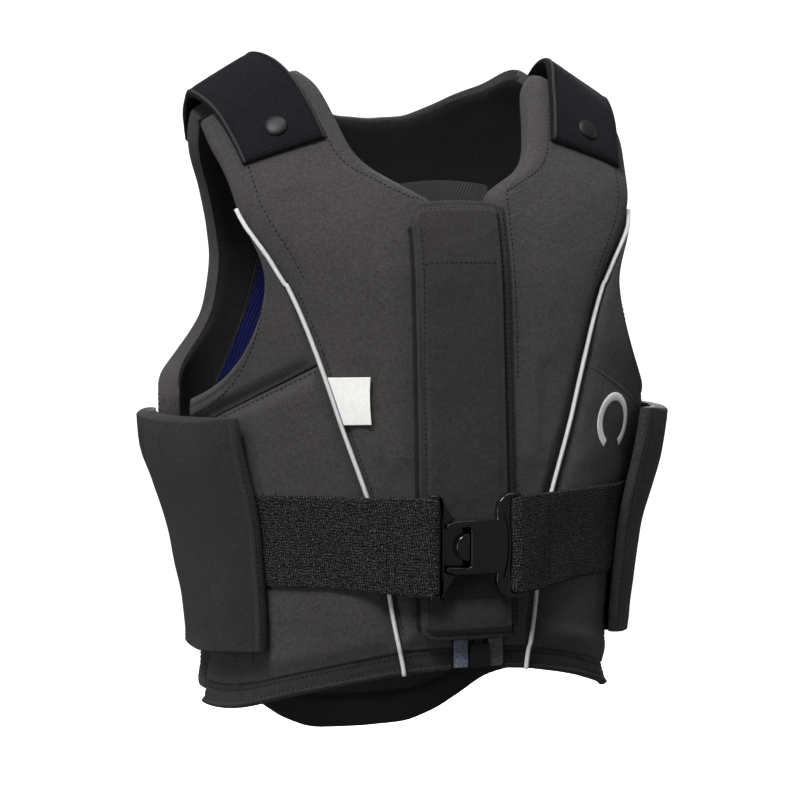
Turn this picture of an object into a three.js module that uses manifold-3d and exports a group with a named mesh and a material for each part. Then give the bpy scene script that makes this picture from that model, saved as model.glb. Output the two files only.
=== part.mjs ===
// A rider's body protector: a sleeveless padded vest with a zip under a front placket, silver piping
// in the princess seams, an elastic waist strap with a centre-release buckle, side pads and
// shoulder straps that come over from the back and close on the front with a press stud.
// Millimetres, +Z up, the front faces -Y, +X is the wearer's left. The origin is where the
// vest rests on the wearer: midway between the shoulders, at the height of the shoulder tops.
import * as THREE from "three";
import { mergeVertices } from "three/addons/utils/BufferGeometryUtils.js";
import Module from "manifold-3d";

const wasm = await Module();
wasm.setup();

// The wearer's body, which the lining side of every panel follows
const shoulderToTail = 472; // from the shoulder tops down to the lowest edge of the back
const chestHalfWidth = 156;
const frontDepth = 112; // from the side seams' plane forward to the belly
const backDepth = 98; // from the same plane back to the shoulder blades
const bodyRoundness = 2.3; // exponent of the oval sections: 2 is an ellipse
const shoulderRoundness = 1.6; // exponent of the profile that closes over the shoulder
const shoulderSlope = 0.65; // fall over run, outwards from the neck
const neckPoint = 90; // where the shoulder line has height 0, out from the centre
const neckEasing = 40; // rounds the shoulder line off towards the centre
const shoulderTurn = 150; // run from the upright chest to the shoulder line

// Padding and cloth
const foam = 16; // a panel at its middle
const foamEdge = 10; // a panel at its sewn edges
const frontEdge = 12; // a front panel beside the zip
const seamGap = 0.9; // between two panels that are sewn together
const layGap = 0.7; // between a piece and what it lies on
const liningThickness = 2;
const liningGap = 1.5; // behind the lining, to the back panel

// Front closure
const zipShift = 8; // the zip's line, across from the centre towards the wearer's left
const zipHalfWidth = 17;
const zipUnderPlacket = 4; // the zip's top end below the placket's
const toothHalfWidth = 3;
const tapeThickness = 1.2;
const tapeOffset = 9.5; // from the lining side of the front to the back of the zip tape
const teethThickness = 3;
const zipBoxHeight = 15;
const zipBoxHalfWidth = 6.5;
const zipBoxThickness = 4;
const sliderLength = 14;
const sliderHalfWidth = 6;
const filmHeight = 21;
const filmThickness = 0.6;
const placketThickness = 5.5;
const placketBaseThickness = 2;
const placketFreeEdge = -32; // the edge that lifts, across from the centre
const placketStitchLine = 26;
const placketSewnEdge = 34;
const placketCorner = 9;
const placketTop = 106; // below the shoulder tops
const placketBottom = 377;
const hookTapeWidth = 20;
const hookTapeThickness = 1.5;
const hookTapeShows = 2.5; // how far it stands out past the placket's free edge
const guardHalfWidth = 34;
const guardThickness = 1.8;
const guardGap = 1.6; // behind the front panels
const guardTop = 94; // below the shoulder tops
const hemBandHeight = 15;
const hemBandGap = 1.8; // from the padding down to the band
const hemBandThickness = 5;
const hemBandOffset = 4;
const hemFlare = 9; // how far the hem's lower edge stands out at the side
const pipingDiameter = 3.2;
const pipingLift = 1.9; // off the sewn edges under it

// Side pads and waist strap
const padThickness = 12.5;
const padEdgeThickness = 8;
const padTop = 228; // below the shoulder tops
const padHeight = 156;
const padSink = 2; // how far its rear edge is drawn into the back where it is sewn
const padStandoff = 4; // further off the body at its top edge than at its foot
const padTaper = 0.2; // share thicker at the top, thinner at the foot
const padRearDrop = 8; // how much lower its bottom edge is at the side than at the front
const padRearAngle = 110; // degrees round from the centre front
const strapHeight = 62;
const strapThickness = 2.4;
const strapCentre = 313; // below the shoulder tops
const strapRise = 6; // higher at the side pads than at the buckle
const strapAnchorAngle = 60;
const strapLeavesAngle = 36; // where the stretched strap lifts off the panels

// Buckle
const buckleShift = -5; // centre of its body, across from the centre front
const buckleBodyLength = 36;
const buckleBodyHeight = 35;
const buckleThickness = 12;
const buckleWall = 2.6;
const buckleFlangeHeight = 69;
const buckleFlangeThickness = 5;
const buckleBar = 2.2; // radius
const barClearance = 0.5;
const socketBarReach = 7; // from the end of the body to the bar
const plugBarReach = 8.3;
const slotLong = 63;
const buttonRadius = 9.5;
const windowLength = 17;

// Shoulders and trims
const shoulderStrapThickness = 5;
const shoulderStrapFront = 72; // its front end, below the shoulder tops along the run
const shoulderStrapBack = 66; // its run down the back from the shoulder line
const shoulderStrapArch = 2.5; // its air gap over the shoulder
const shoulderStrapSink = 0.8; // its ends press into the padding's crown
const snapDiameter = 15.5;
const snapHeight = 3;
const snapFromEnd = 13;
const labelHeight = 31;
const labelFreeEdge = 61; // across from the centre
const labelThickness = 0.9;
const labelTop = 203; // below the shoulder tops
const labelLift = 2.4; // how far its free end stands off the panel
const labelSink = 1.6; // how far its sewn end dips into the seam

// The body's sections: shares of the length below the shoulders, chest half width and depths
const sections = [
  { down: -0.13, width: 0.974, front: 0.768, back: 0.796 },
  { down: 0.064, width: 0.974, front: 0.768, back: 0.816 },
  { down: 0.18, width: 0.974, front: 0.804, back: 0.898 },
  { down: 0.318, width: 0.98, front: 0.857, back: 1.0 },
  { down: 0.477, width: 1.0, front: 0.902, back: 0.98 },
  { down: 0.667, width: 0.872, front: 0.946, back: 0.878 },
  { down: 0.826, width: 0.808, front: 0.991, back: 0.837 },
  { down: 0.932, width: 0.846, front: 1.0, back: 0.857 },
  { down: 1.06, width: 0.846, front: 1.0, back: 0.878 },
];
// Exponent of the front's section: the stiff upper chest is flatter than an oval
const chestFlatness = [
  { down: 0.19, exponent: 6 },
  { down: 0.2415, exponent: 4 },
  { down: 0.28, exponent: 2.8 },
  { down: 0.38, exponent: 2.5 },
  { down: 0.5, exponent: 2.3 },
];
const frontTurnDown = 0.297; // where the chest starts to lean back to the shoulder
const backTurnDown = 0.254;

// Outlines: down is a share of the length below the shoulders along the run,
// across a share of the half width there, from the centre to the side
const frontNeckline = [
  { down: -0.022, across: 0.6 },
  { down: 0.04, across: 0.55 },
  { down: 0.085, across: 0.485 },
  { down: 0.14, across: 0.437 },
  { down: 0.167, across: 0.405 },
  { down: 0.186, across: 0.345 },
  { down: 0.201, across: 0.25 },
  { down: 0.212, across: 0.17 },
  { down: 0.22, across: 0.1 },
];
const princessSeam = [
  { down: 0.19, across: 0.9 },
  { down: 0.212, across: 0.867 },
  { down: 0.2415, across: 0.8 },
  { down: 0.27, across: 0.75 },
  { down: 0.297, across: 0.71 },
  { down: 0.352, across: 0.645 },
  { down: 0.4025, across: 0.59 },
  { down: 0.487, across: 0.51 },
  { down: 0.593, across: 0.435 },
  { down: 0.66, across: 0.4 },
  { down: 0.729, across: 0.38 },
  { down: 0.775, across: 0.373 },
  { down: 0.81, across: 0.345 },
  { down: 0.86, across: 0.312 },
];
const frontArmhole = [
  { down: -0.022, across: 0.975 },
  { down: 0.09, across: 0.954 },
  { down: 0.142, across: 0.925 },
  { down: 0.19, across: 0.9 },
];
const underarmCurve = [
  // from the top of the princess seam round to the side tip: shares of that width and drop
  { along: 0, fall: 0 },
  { along: 0.07, fall: 0.2 },
  { along: 0.18, fall: 0.39 },
  { along: 0.34, fall: 0.6 },
  { along: 0.53, fall: 0.8 },
  { along: 0.7, fall: 0.91 },
  { along: 0.87, fall: 0.97 },
  { along: 1, fall: 1 },
];
const seamTopDown = 0.19;
const underarmDown = 0.462;
const underarmFlare = 5; // how far the armhole's edge stands off the body
const yokeSeamDown = { front: 0.412, side: 0.51 }; // the slanting seam below the armhole
const frontSideAngle = { underarm: 77, hem: 84 }; // degrees round to the rear edge of the front
const backSideAngle = 95;
const frontHem = [
  { across: 0, down: 0.841 },
  { across: 0.31, down: 0.847 },
  { across: 0.56, down: 0.86 },
  { across: 0.8, down: 0.882 },
  { across: 1, down: 0.915 },
];
const frontShoulderDown = 0.045; // the front panels end here, under the shoulder strap
const backShoulderDown = -0.03;
const backNeckline = [
  { down: -0.064, across: 0.6 },
  { down: -0.02, across: 0.565 },
  { down: 0.03, across: 0.49 },
  { down: 0.062, across: 0.385 },
  { down: 0.09, across: 0.27 },
  { down: 0.108, across: 0.15 },
  { down: 0.114, across: 0 },
];
const backArmhole = [
  { down: -0.064, across: 0.95 },
  { down: 0.036, across: 0.93 },
  { down: 0.09, across: 0.895 },
  { down: 0.167, across: 0.797 },
  { down: 0.229, across: 0.734 },
  { down: 0.273, across: 0.713 },
  { down: 0.341, across: 0.743 },
  { down: 0.379, across: 0.81 },
  { down: 0.41, across: 0.9 },
  { down: 0.434, across: 0.97 },
  { down: 0.456, across: 0.999 },
];
const backUnderarmDown = 0.462;
const backTail = [
  { across: 0, down: 0.996 },
  { across: 0.24, down: 0.993 },
  { across: 0.42, down: 0.976 },
  { across: 0.56, down: 0.95 },
  { across: 0.7, down: 0.92 },
  { across: 0.85, down: 0.905 },
  { across: 1, down: 0.9 },
];
const backSideHemDown = 0.9;
const liningEdge = [
  { down: 0.25, across: 0.5 },
  { down: 0.33, across: 0.565 },
  { down: 0.377, across: 0.62 },
  { down: 0.43, across: 0.7 },
  { down: 0.5, across: 0.8 },
  { down: 0.62, across: 0.84 },
  { down: 0.88, across: 0.8 },
];
const padFrontEdge = [
  { down: 0.47, across: 0.835 },
  { down: 0.5, across: 0.825 },
  { down: 0.585, across: 0.82 },
  { down: 0.69, across: 0.835 },
  { down: 0.84, across: 0.86 },
];
const shoulderStrapEdges = [
  // run: mm past the shoulder line, negative on the front, as shares of the two ends' runs
  { run: -1, inner: 0.51, outer: 0.85 },
  { run: -0.6, inner: 0.56, outer: 0.89 },
  { run: 0, inner: 0.63, outer: 0.94 },
  { run: 0.6, inner: 0.64, outer: 0.915 },
  { run: 1, inner: 0.62, outer: 0.88 },
];

// Materials
const shellCloth = new THREE.MeshStandardMaterial({ color: 0x343333, roughness: 0.85 });
const meshLining = new THREE.MeshStandardMaterial({ color: 0x1a2a9c, roughness: 0.9 });
const loopCloth = new THREE.MeshStandardMaterial({ color: 0x1d1c20, roughness: 0.95 });
const elasticCloth = new THREE.MeshStandardMaterial({ color: 0x1f1f20, roughness: 0.9 });
const pipingCloth = new THREE.MeshStandardMaterial({ color: 0xd9dada, roughness: 0.45 });
const buckleNylon = new THREE.MeshStandardMaterial({ color: 0x101011, roughness: 0.35 });
const zipNylon = new THREE.MeshStandardMaterial({ color: 0x161618, roughness: 0.5 });
const filmPlastic = new THREE.MeshStandardMaterial({ color: 0x4a5260, roughness: 0.3 });
const labelCloth = new THREE.MeshStandardMaterial({ color: 0xe9e8e2, roughness: 0.8 });
const snapMetal = new THREE.MeshStandardMaterial({ color: 0x2b2b2c, roughness: 0.35, metalness: 0.6 });

const vest = new THREE.Group();
const rightAngle = Math.PI / 2;
const radians = THREE.MathUtils.degToRad;

// A smooth curve through a table's rows: monotone cubic in the named columns
function curveThrough(rows, from, to) {
  const xs = rows.map((row) => row[from]);
  const ys = rows.map((row) => row[to]);
  if (xs[0] > xs[xs.length - 1]) {
    xs.reverse();
    ys.reverse();
  }
  const last = xs.length - 1;
  const secant = (i) => (ys[i + 1] - ys[i]) / (xs[i + 1] - xs[i]);
  const slopes = xs.map((_, i) => {
    if (i === 0) return secant(0);
    if (i === last) return secant(last - 1);
    const before = secant(i - 1);
    const after = secant(i);
    return before * after <= 0 ? 0 : (2 * before * after) / (before + after);
  });
  return (x) => {
    const at = THREE.MathUtils.clamp(x, xs[0], xs[last]);
    let i = 0;
    while (i < last - 1 && at > xs[i + 1]) i += 1;
    const span = xs[i + 1] - xs[i];
    const t = (at - xs[i]) / span;
    const rise = ys[i + 1] - ys[i];
    const bend = slopes[i] * span * t * (1 - t) ** 2 - slopes[i + 1] * span * t * t * (1 - t);
    return ys[i] + rise * t * t * (3 - 2 * t) + bend;
  };
}

const signedPower = (value, exponent) => Math.sign(value) * Math.abs(value) ** exponent;
const widthAt = curveThrough(sections, "down", "width");
const frontAt = curveThrough(sections, "down", "front");
const backAt = curveThrough(sections, "down", "back");
const flatnessAt = curveThrough(chestFlatness, "down", "exponent");
const shoulderLine = (x) =>
  -shoulderSlope * (Math.hypot(x, neckEasing) - Math.hypot(neckPoint, neckEasing));

// How far the run lies below the shoulder tops at the shoulder line, front and back
const frontLine = frontTurnDown * shoulderToTail - shoulderTurn;
const backLine = backTurnDown * shoulderToTail - shoulderTurn;

// A point of the body at an angle round from the centre front and a run below the shoulder
// tops, which follows the body up the chest and then back over the shoulder
function bodyPoint(angle, run) {
  const behind = Math.abs(angle) > rightAngle;
  const turn = (behind ? backTurnDown : frontTurnDown) * shoulderToTail;
  const down = Math.max(run, 0) / shoulderToTail;
  const x = chestHalfWidth * widthAt(down) * signedPower(Math.sin(angle), 2 / bodyRoundness);
  let height = -run;
  let closing = 1;
  if (run < turn) {
    const lean = ((turn - run) / shoulderTurn) * rightAngle;
    const rise = Math.abs(Math.sin(lean)) ** (2 / shoulderRoundness);
    height = -turn + (shoulderLine(x) + turn) * rise;
    closing = signedPower(Math.cos(lean), 2 / shoulderRoundness);
  }
  const depthShare = (behind ? backAt : frontAt)(-height / shoulderToTail);
  const depth = (behind ? backDepth : frontDepth) * depthShare * closing;
  const exponent = behind ? bodyRoundness : flatnessAt(down);
  return new THREE.Vector3(x, -depth * signedPower(Math.cos(angle), 2 / exponent), height);
}

// The same point moved out from the body, square to it
function offBody(angle, run, offset) {
  const turnStep = 0.002;
  const runStep = 0.3;
  const around = bodyPoint(angle + turnStep, run).sub(bodyPoint(angle - turnStep, run));
  const upwards = bodyPoint(angle, run - runStep).sub(bodyPoint(angle, run + runStep));
  return bodyPoint(angle, run).addScaledVector(around.cross(upwards).normalize(), offset);
}

const angleAcross = (across) =>
  Math.asin(THREE.MathUtils.clamp(across, -1, 1) ** (bodyRoundness / 2));
const angleAtX = (x, run) => {
  const share = x / (chestHalfWidth * widthAt(Math.max(run, 0) / shoulderToTail));
  return Math.asin(signedPower(THREE.MathUtils.clamp(share, -1, 1), bodyRoundness / 2));
};
// The angle moved on by a length along the body
const angleMoved = (angle, run, length) => {
  const step = 0.01;
  const speed = bodyPoint(angle + step, run).distanceTo(bodyPoint(angle - step, run)) / (2 * step);
  return angle + length / speed;
};
// An outline's angle as a function of the run
const outline = (rows) => {
  const across = curveThrough(rows, "down", "across");
  return (run) => angleAcross(across(run / shoulderToTail));
};
// An edge's run as a function of the angle
const lowerEdge = (rows) => {
  const down = curveThrough(rows, "across", "down");
  return (angle) => shoulderToTail * down(Math.abs(Math.sin(angle)) ** (2 / bodyRoundness));
};

const mix = THREE.MathUtils.lerp;
// Shares from 0 to 1, closer together near both ends
const easedShares = (count) =>
  Array.from({ length: count + 1 }, (_, i) => {
    const even = i / count;
    return mix(even, (1 - Math.cos(Math.PI * even)) / 2, 0.75);
  });
const evenShares = (count) => Array.from({ length: count + 1 }, (_, i) => i / count);
// 0 at both edges of a padded piece, 1 over its middle
const crown = (share) => 1 - Math.abs(2 * share - 1) ** 7;
const crownAtEnd = (share) => 1 - share ** 9;

// A closed slab between two faces over a grid of shares; pointAt(s, t, outer) gives its corners.
// openBelow leaves the s = 0 wall out up to that row, for joining a mirrored half
function slab(shares, rows, pointAt, openBelow = 0) {
  const wide = shares.length;
  const high = rows.length;
  const positions = [];
  for (const outer of [true, false])
    for (const t of rows) for (const s of shares) positions.push(...pointAt(s, t, outer).toArray());
  const corner = (i, j, outer) => (outer ? 0 : wide * high) + j * wide + i;
  const triangles = [];
  const quad = (a, b, c, d) => triangles.push(a, b, c, a, c, d);
  for (let j = 0; j < high - 1; j += 1)
    for (let i = 0; i < wide - 1; i += 1) {
      quad(corner(i, j, true), corner(i + 1, j, true), corner(i + 1, j + 1, true), corner(i, j + 1, true));
      quad(corner(i, j, false), corner(i, j + 1, false), corner(i + 1, j + 1, false), corner(i + 1, j, false));
    }
  for (let i = 0; i < wide - 1; i += 1) {
    quad(corner(i, 0, true), corner(i, 0, false), corner(i + 1, 0, false), corner(i + 1, 0, true));
    const top = high - 1;
    quad(corner(i, top, true), corner(i + 1, top, true), corner(i + 1, top, false), corner(i, top, false));
  }
  for (let j = 0; j < high - 1; j += 1) {
    if (j >= openBelow)
      quad(corner(0, j, true), corner(0, j + 1, true), corner(0, j + 1, false), corner(0, j, false));
    const end = wide - 1;
    quad(corner(end, j, true), corner(end, j, false), corner(end, j + 1, false), corner(end, j + 1, true));
  }
  return solidMesh(positions, triangles);
}

function solidMesh(positions, triangles) {
  const geometry = new THREE.BufferGeometry();
  geometry.setAttribute("position", new THREE.Float32BufferAttribute(positions, 3));
  geometry.setIndex(triangles);
  return geometry;
}

// The mirror image in the plane between the wearer's left and right
function mirrored(geometry) {
  const positions = Array.from(geometry.attributes.position.array, (v, i) => (i % 3 ? v : -v));
  const index = Array.from(geometry.index.array);
  const flipped = index.map((_, i) => index[i - (i % 3) + [0, 2, 1][i % 3]]);
  return solidMesh(positions, flipped);
}

// Two open halves sewn into one closed solid
function joined(a, b) {
  const count = a.attributes.position.count;
  const positions = [...a.attributes.position.array, ...b.attributes.position.array];
  return solidMesh(positions, [...a.index.array, ...Array.from(b.index.array, (i) => i + count)]);
}

function toSolid(geometry) {
  const bare = new THREE.BufferGeometry().setAttribute("position", geometry.attributes.position);
  bare.setIndex(geometry.index);
  const merged = mergeVertices(bare, 1e-4);
  return new wasm.Manifold(
    new wasm.Mesh({
      numProp: 3,
      vertProperties: merged.attributes.position.array,
      triVerts: new Uint32Array(merged.index.array),
    }),
  );
}

function fromSolid(solid) {
  const { vertProperties, triVerts } = solid.getMesh();
  return solidMesh(Array.from(vertProperties), Array.from(triVerts));
}

function add(name, geometry, material) {
  const mesh = new THREE.Mesh(geometry, material);
  mesh.name = name;
  vest.add(mesh);
}

// The wearer's left piece as modelled, and its mirror image on the right
function addPair(name, geometry, material) {
  add(`${name}_left`, geometry, material);
  add(`${name}_right`, mirrored(geometry), material);
}

const downTo = (share) => share * shoulderToTail;
const seamAngle = outline(princessSeam);
const neckFoot = downTo(frontNeckline[frontNeckline.length - 1].down);
const hemRun = lowerEdge(frontHem);
const panelHemRun = (angle) => hemRun(angle) - hemBandHeight - hemBandGap;

// Front centre panels: zip edge and neckline inside, armhole and princess seam outside
function frontCentre(zipEdgeX) {
  const neck = outline(frontNeckline);
  const arm = outline(frontArmhole);
  const top = downTo(frontShoulderDown);
  const foot = downTo(frontHem[frontHem.length - 1].down);
  const angleOn = (s, run) => {
    const zipEdge = angleAtX(zipEdgeX, run);
    const inside = run > neckFoot ? zipEdge : Math.max(zipEdge, neck(run));
    const outside = run < downTo(seamTopDown)
      ? arm(run)
      : angleMoved(seamAngle(run), run, -seamGap / 2);
    return mix(inside, outside, s);
  };
  return slab(easedShares(8), easedShares(21), (s, t, outer) => {
    const level = mix(foot, top, t);
    const fade = Math.max(0, 1 - t / 0.35);
    const run = level + (panelHemRun(angleOn(s, level)) - foot) * fade;
    const angle = angleOn(s, run);
    const edge = mix(frontEdge, foamEdge, s);
    const thick = edge + (foam - edge) * crown(s) * crown(t);
    return offBody(angle, run, outer ? thick : 0);
  });
}

// The slanting seam from the princess seam back to the side
const yokeSeamRun = (share) => downTo(mix(yokeSeamDown.front, yokeSeamDown.side, share));
const sideAngle = (run) => {
  const below = (run / shoulderToTail - underarmDown) / (frontHem[0].down - underarmDown);
  const share = THREE.MathUtils.clamp(below, 0, 1);
  return radians(mix(frontSideAngle.underarm, frontSideAngle.hem, share));
};

// Upper side front: under the armhole, above the slanting seam
function frontArmholePiece() {
  const fall = curveThrough(underarmCurve, "along", "fall");
  return slab(easedShares(10), easedShares(5), (s, t, outer) => {
    const top = mix(downTo(seamTopDown), downTo(underarmDown), fall(s));
    const run = mix(yokeSeamRun(s) - seamGap / 2, top, t);
    const angle = mix(angleMoved(seamAngle(run), run, seamGap / 2), sideAngle(run), s);
    const thick = foamEdge + (foam - foamEdge) * crown(s) * crown(t) * 0.75;
    const flare = underarmFlare * t * Math.sin(Math.PI * s);
    return offBody(angle, run, flare + (outer ? thick : 0));
  });
}

// Lower side front: below the slanting seam, behind the princess seam
function frontSide() {
  return slab(easedShares(7), easedShares(10), (s, t, outer) => {
    const foot = panelHemRun(mix(seamAngle(downTo(0.8)), sideAngle(downTo(0.9)), s));
    const run = mix(foot, yokeSeamRun(s) + seamGap / 2, t);
    const angle = mix(angleMoved(seamAngle(run), run, seamGap / 2), sideAngle(run), s);
    const thick = foamEdge + (foam - foamEdge) * crown(s) * crown(t);
    return offBody(angle, run, outer ? thick : 0);
  });
}

// Flat double-stitched band below the padding, from the zip to the side
function hemBand(zipEdgeX) {
  return slab(evenShares(12), evenShares(1), (s, t, outer) => {
    const inside = angleAtX(zipEdgeX, downTo(0.84));
    const angle = mix(inside, sideAngle(downTo(0.9)), s);
    const run = hemRun(angle) - hemBandHeight * t;
    const flare = hemFlare * s ** 3 * mix(1, 0.5, t);
    return offBody(angle, run, hemBandOffset + flare + (outer ? hemBandThickness : 0));
  });
}

// Back panel: two mirrored halves that share the centre line below the neckline
function backPanel() {
  const neck = outline(backNeckline);
  const arm = outline(backArmhole);
  const tailRun = lowerEdge(backTail);
  const foot = downTo(backSideHemDown);
  const top = downTo(backShoulderDown);
  const collar = downTo(backNeckline[backNeckline.length - 1].down);
  const underarm = downTo(backUnderarmDown);
  const bodyRows = evenShares(8).map((share) => mix(foot, underarm, share));
  const armRows = easedShares(10).slice(1).map((share) => mix(underarm, collar, share));
  const neckRows = evenShares(8).slice(1).map((share) => mix(collar, top, share ** 1.6));
  const levels = [...bodyRows, ...armRows, ...neckRows];
  const rows = levels.map((_, i) => i / (levels.length - 1));
  const levelAt = (t) => levels[Math.round(t * (levels.length - 1))];
  const openBelow = bodyRows.length + armRows.length - 1;
  const half = slab(evenShares(10).map((share) => share ** 0.85), rows, (s, t, outer) => {
    const level = levelAt(t);
    const inside = level < collar ? neck(level) : 0;
    const outside = level < underarm ? arm(level) : radians(180 - backSideAngle);
    const fromBack = mix(inside, outside, s);
    const fade = Math.max(0, (level - underarm) / (foot - underarm)) ** 2;
    const run = level + (tailRun(fromBack) - foot) * fade;
    const sideCrown = crownAtEnd(s) * (level < collar ? crownAtEnd(1 - s) : 1);
    const thick = foamEdge + (foam - foamEdge) * sideCrown * crown(t);
    const point = offBody(Math.PI + fromBack, run, outer ? thick : 0);
    if (s === 0 && level >= collar) point.x = 0;
    return point;
  }, openBelow);
  return joined(half, mirrored(half));
}

// Spacer mesh lining inside the back, clear of the armholes and the collar
function backLining() {
  const edge = outline(liningEdge);
  const top = downTo(liningEdge[0].down);
  const foot = downTo(liningEdge[liningEdge.length - 1].down);
  const tailRun = lowerEdge(backTail);
  return slab(evenShares(12).map((share) => 2 * share - 1), evenShares(10), (s, t, outer) => {
    const level = mix(foot, top, t);
    const fromBack = edge(level) * s;
    const fade = Math.max(0, 1 - t / 0.5);
    const run = level + (tailRun(fromBack) - downTo(backTail[4].down)) * 0.8 * fade;
    return offBody(Math.PI + fromBack, run, outer ? -liningGap : -liningGap - liningThickness);
  });
}

// Silver cord sewn into the princess seam, standing proud of both panels
function piping() {
  const radius = pipingDiameter / 2;
  const start = downTo(seamTopDown) + radius;
  const stop = (run) => Math.min(run, hemRun(seamAngle(run)));
  const points = evenShares(30).map((share) => {
    const run = stop(mix(start, hemRun(seamAngle(downTo(0.86))), share));
    return offBody(seamAngle(run), run, foamEdge + pipingLift + radius);
  });
  const section = new THREE.Shape();
  section.absarc(0, 0, radius, 0, 2 * Math.PI);
  return extrudedAlong(section, points, 2, 28);
}

// ExtrudeGeometry without its normals, welded into one closed surface
function welded(geometry) {
  const bare = new THREE.BufferGeometry().setAttribute("position", geometry.attributes.position);
  return mergeVertices(bare, 1e-4);
}

function extrudedAlong(section, points, curveSegments, steps) {
  const extrudePath = new THREE.CatmullRomCurve3(points);
  return welded(new THREE.ExtrudeGeometry(section, { steps, curveSegments, bevelEnabled: false, extrudePath }));
}

// A flat piece on the centre front: edges in mm across, runs below the shoulder tops
function frontStrip(from, to, top, bottom, offset, thickness, across = 2, along = 14) {
  return slab(evenShares(across), evenShares(along), (s, t, outer) => {
    const run = mix(bottom, top, t);
    return offBody(angleAtX(mix(from, to, s), run), run, offset + (outer ? thickness : 0));
  });
}

const centreHem = hemRun(0);
const zipTop = placketTop + zipUnderPlacket;
const tapeFace = tapeOffset + tapeThickness;
const placketOffset = foam + layGap + hookTapeThickness + layGap;

function addZip() {
  const zipFoot = centreHem - 1;
  const addOnBothSides = (name, from, to, top, offset, thickness, rows, material) => {
    const sides = { left: [zipShift + from, zipShift + to], right: [zipShift - to, zipShift - from] };
    for (const [side, [start, end]] of Object.entries(sides))
      add(`${name}_${side}`, frontStrip(start, end, top, zipFoot, offset, thickness, 1, rows), material);
  };
  addOnBothSides("zip_tape", toothHalfWidth + layGap, zipHalfWidth, zipTop, tapeOffset, tapeThickness, 14, zipNylon);
  const boxTop = zipFoot - zipBoxHeight;
  const teethOffset = tapeOffset + (tapeThickness - teethThickness) / 2;
  const teethFoot = boxTop - layGap;
  const sliderFoot = zipTop + sliderLength;
  const onZipLine = (half, top, foot, offset, thickness, rows) =>
    frontStrip(zipShift - half, zipShift + half, top, foot, offset, thickness, 1, rows);
  add("zip_teeth", onZipLine(toothHalfWidth, zipTop, teethFoot, teethOffset, teethThickness, 14), zipNylon);
  const onTape = tapeFace + layGap / 2;
  add("zip_box", onZipLine(zipBoxHalfWidth, boxTop, zipFoot, onTape, zipBoxThickness, 2), zipNylon);
  const filmTop = zipFoot - filmHeight;
  addOnBothSides("zip_film", zipBoxHalfWidth + layGap, zipHalfWidth, filmTop, onTape, filmThickness, 2, filmPlastic);
  const overTeeth = teethOffset + teethThickness + layGap / 2;
  const sliderTop = zipTop + layGap;
  add("zip_slider", onZipLine(sliderHalfWidth, sliderTop, sliderFoot, overTeeth, 2 * tapeThickness, 2), zipNylon);
  const guardOffset = -guardGap - guardThickness;
  add("zip_guard", frontStrip(-guardHalfWidth, guardHalfWidth, guardTop, centreHem - hemBandHeight, guardOffset, guardThickness, 4), loopCloth);
}

// Placket: a padded flap over the zip, sewn down along the wearer's left edge
function placket() {
  const width = placketSewnEdge - placketFreeEdge;
  const stitch = (placketStitchLine - placketFreeEdge) / width;
  const columns = [0, 0.04, 0.13, 0.33, 0.58, 0.78, stitch - 0.015, stitch + 0.015, 1];
  return slab(columns, easedShares(15), (s, t, outer) => {
    const fromEdge = s * width;
    const inset = Math.max(0, placketCorner - fromEdge);
    const corner = placketCorner - Math.sqrt(Math.max(0, placketCorner ** 2 - inset ** 2));
    const run = mix(placketBottom - corner, placketTop + corner, t);
    const angle = angleAtX(placketFreeEdge + fromEdge, run);
    const body = placketThickness * (0.6 + 0.4 * crown(Math.min(1, s / stitch)) * crown(t));
    const base = foam + layGap;
    const sewn = s > stitch;
    const low = sewn ? base : placketOffset;
    return offBody(angle, run, outer ? (sewn ? base + placketBaseThickness : low + body) : low);
  });
}

function addPlacket() {
  add("placket", placket(), shellCloth);
  const tapeEdge = placketFreeEdge - hookTapeShows;
  const tapeEnds = placketCorner;
  const tape = frontStrip(
    tapeEdge, tapeEdge + hookTapeWidth, placketTop + tapeEnds, placketBottom - tapeEnds,
    foam + layGap, hookTapeThickness,
  );
  add("placket_hook_tape", tape, loopCloth);
}

// Side pads: over the waist strap and the rear edge of the front, sewn to the back
function sidePad() {
  const front = outline(padFrontEdge);
  const overStrap = foam + layGap + strapThickness + layGap;
  const onBack = foam + layGap - padSink;
  return slab(easedShares(9), easedShares(8), (s, t, outer) => {
    const foot = padTop + padHeight + padRearDrop * Math.min(1, 2 * s);
    const run = mix(foot, padTop, t);
    const angle = mix(front(run), radians(padRearAngle), s);
    const seat = mix(overStrap, onBack, THREE.MathUtils.smoothstep(s, 0.3, 0.8));
    const inner = seat + padStandoff * t ** 2;
    const full = padThickness * mix(1 - padTaper, 1 + padTaper, t);
    const thick = padEdgeThickness + (full - padEdgeThickness) * crown(s) * crown(t);
    return offBody(angle, run, outer ? inner + thick : inner);
  });
}

// Buckle: a plug with a push button in a socket, lying flat over the placket
const placketFront = -offBody(0, strapCentre + buckleFlangeHeight / 2, placketOffset + placketThickness).y;
const buckleBack = placketFront + layGap;
const barDepth = buckleBack + buckleThickness / 2;
const socketEnd = buckleShift + buckleBodyLength / 2;
const socketMouth = buckleShift - buckleBodyLength / 2;
const socketBarX = socketEnd + socketBarReach;
const plugBarX = socketMouth - plugBarReach;
const slotReach = buckleBar + strapThickness + 3 * barClearance;

// A plate in the buckle's plane, between two depths in front of its back face
function buckleBlock(shape, from, to) {
  const geometry = new THREE.ExtrudeGeometry(shape, { depth: to - from, bevelEnabled: false, curveSegments: 10 });
  geometry.rotateX(rightAngle);
  geometry.translate(0, -buckleBack - from, -strapCentre);
  return toSolid(geometry);
}

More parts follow.
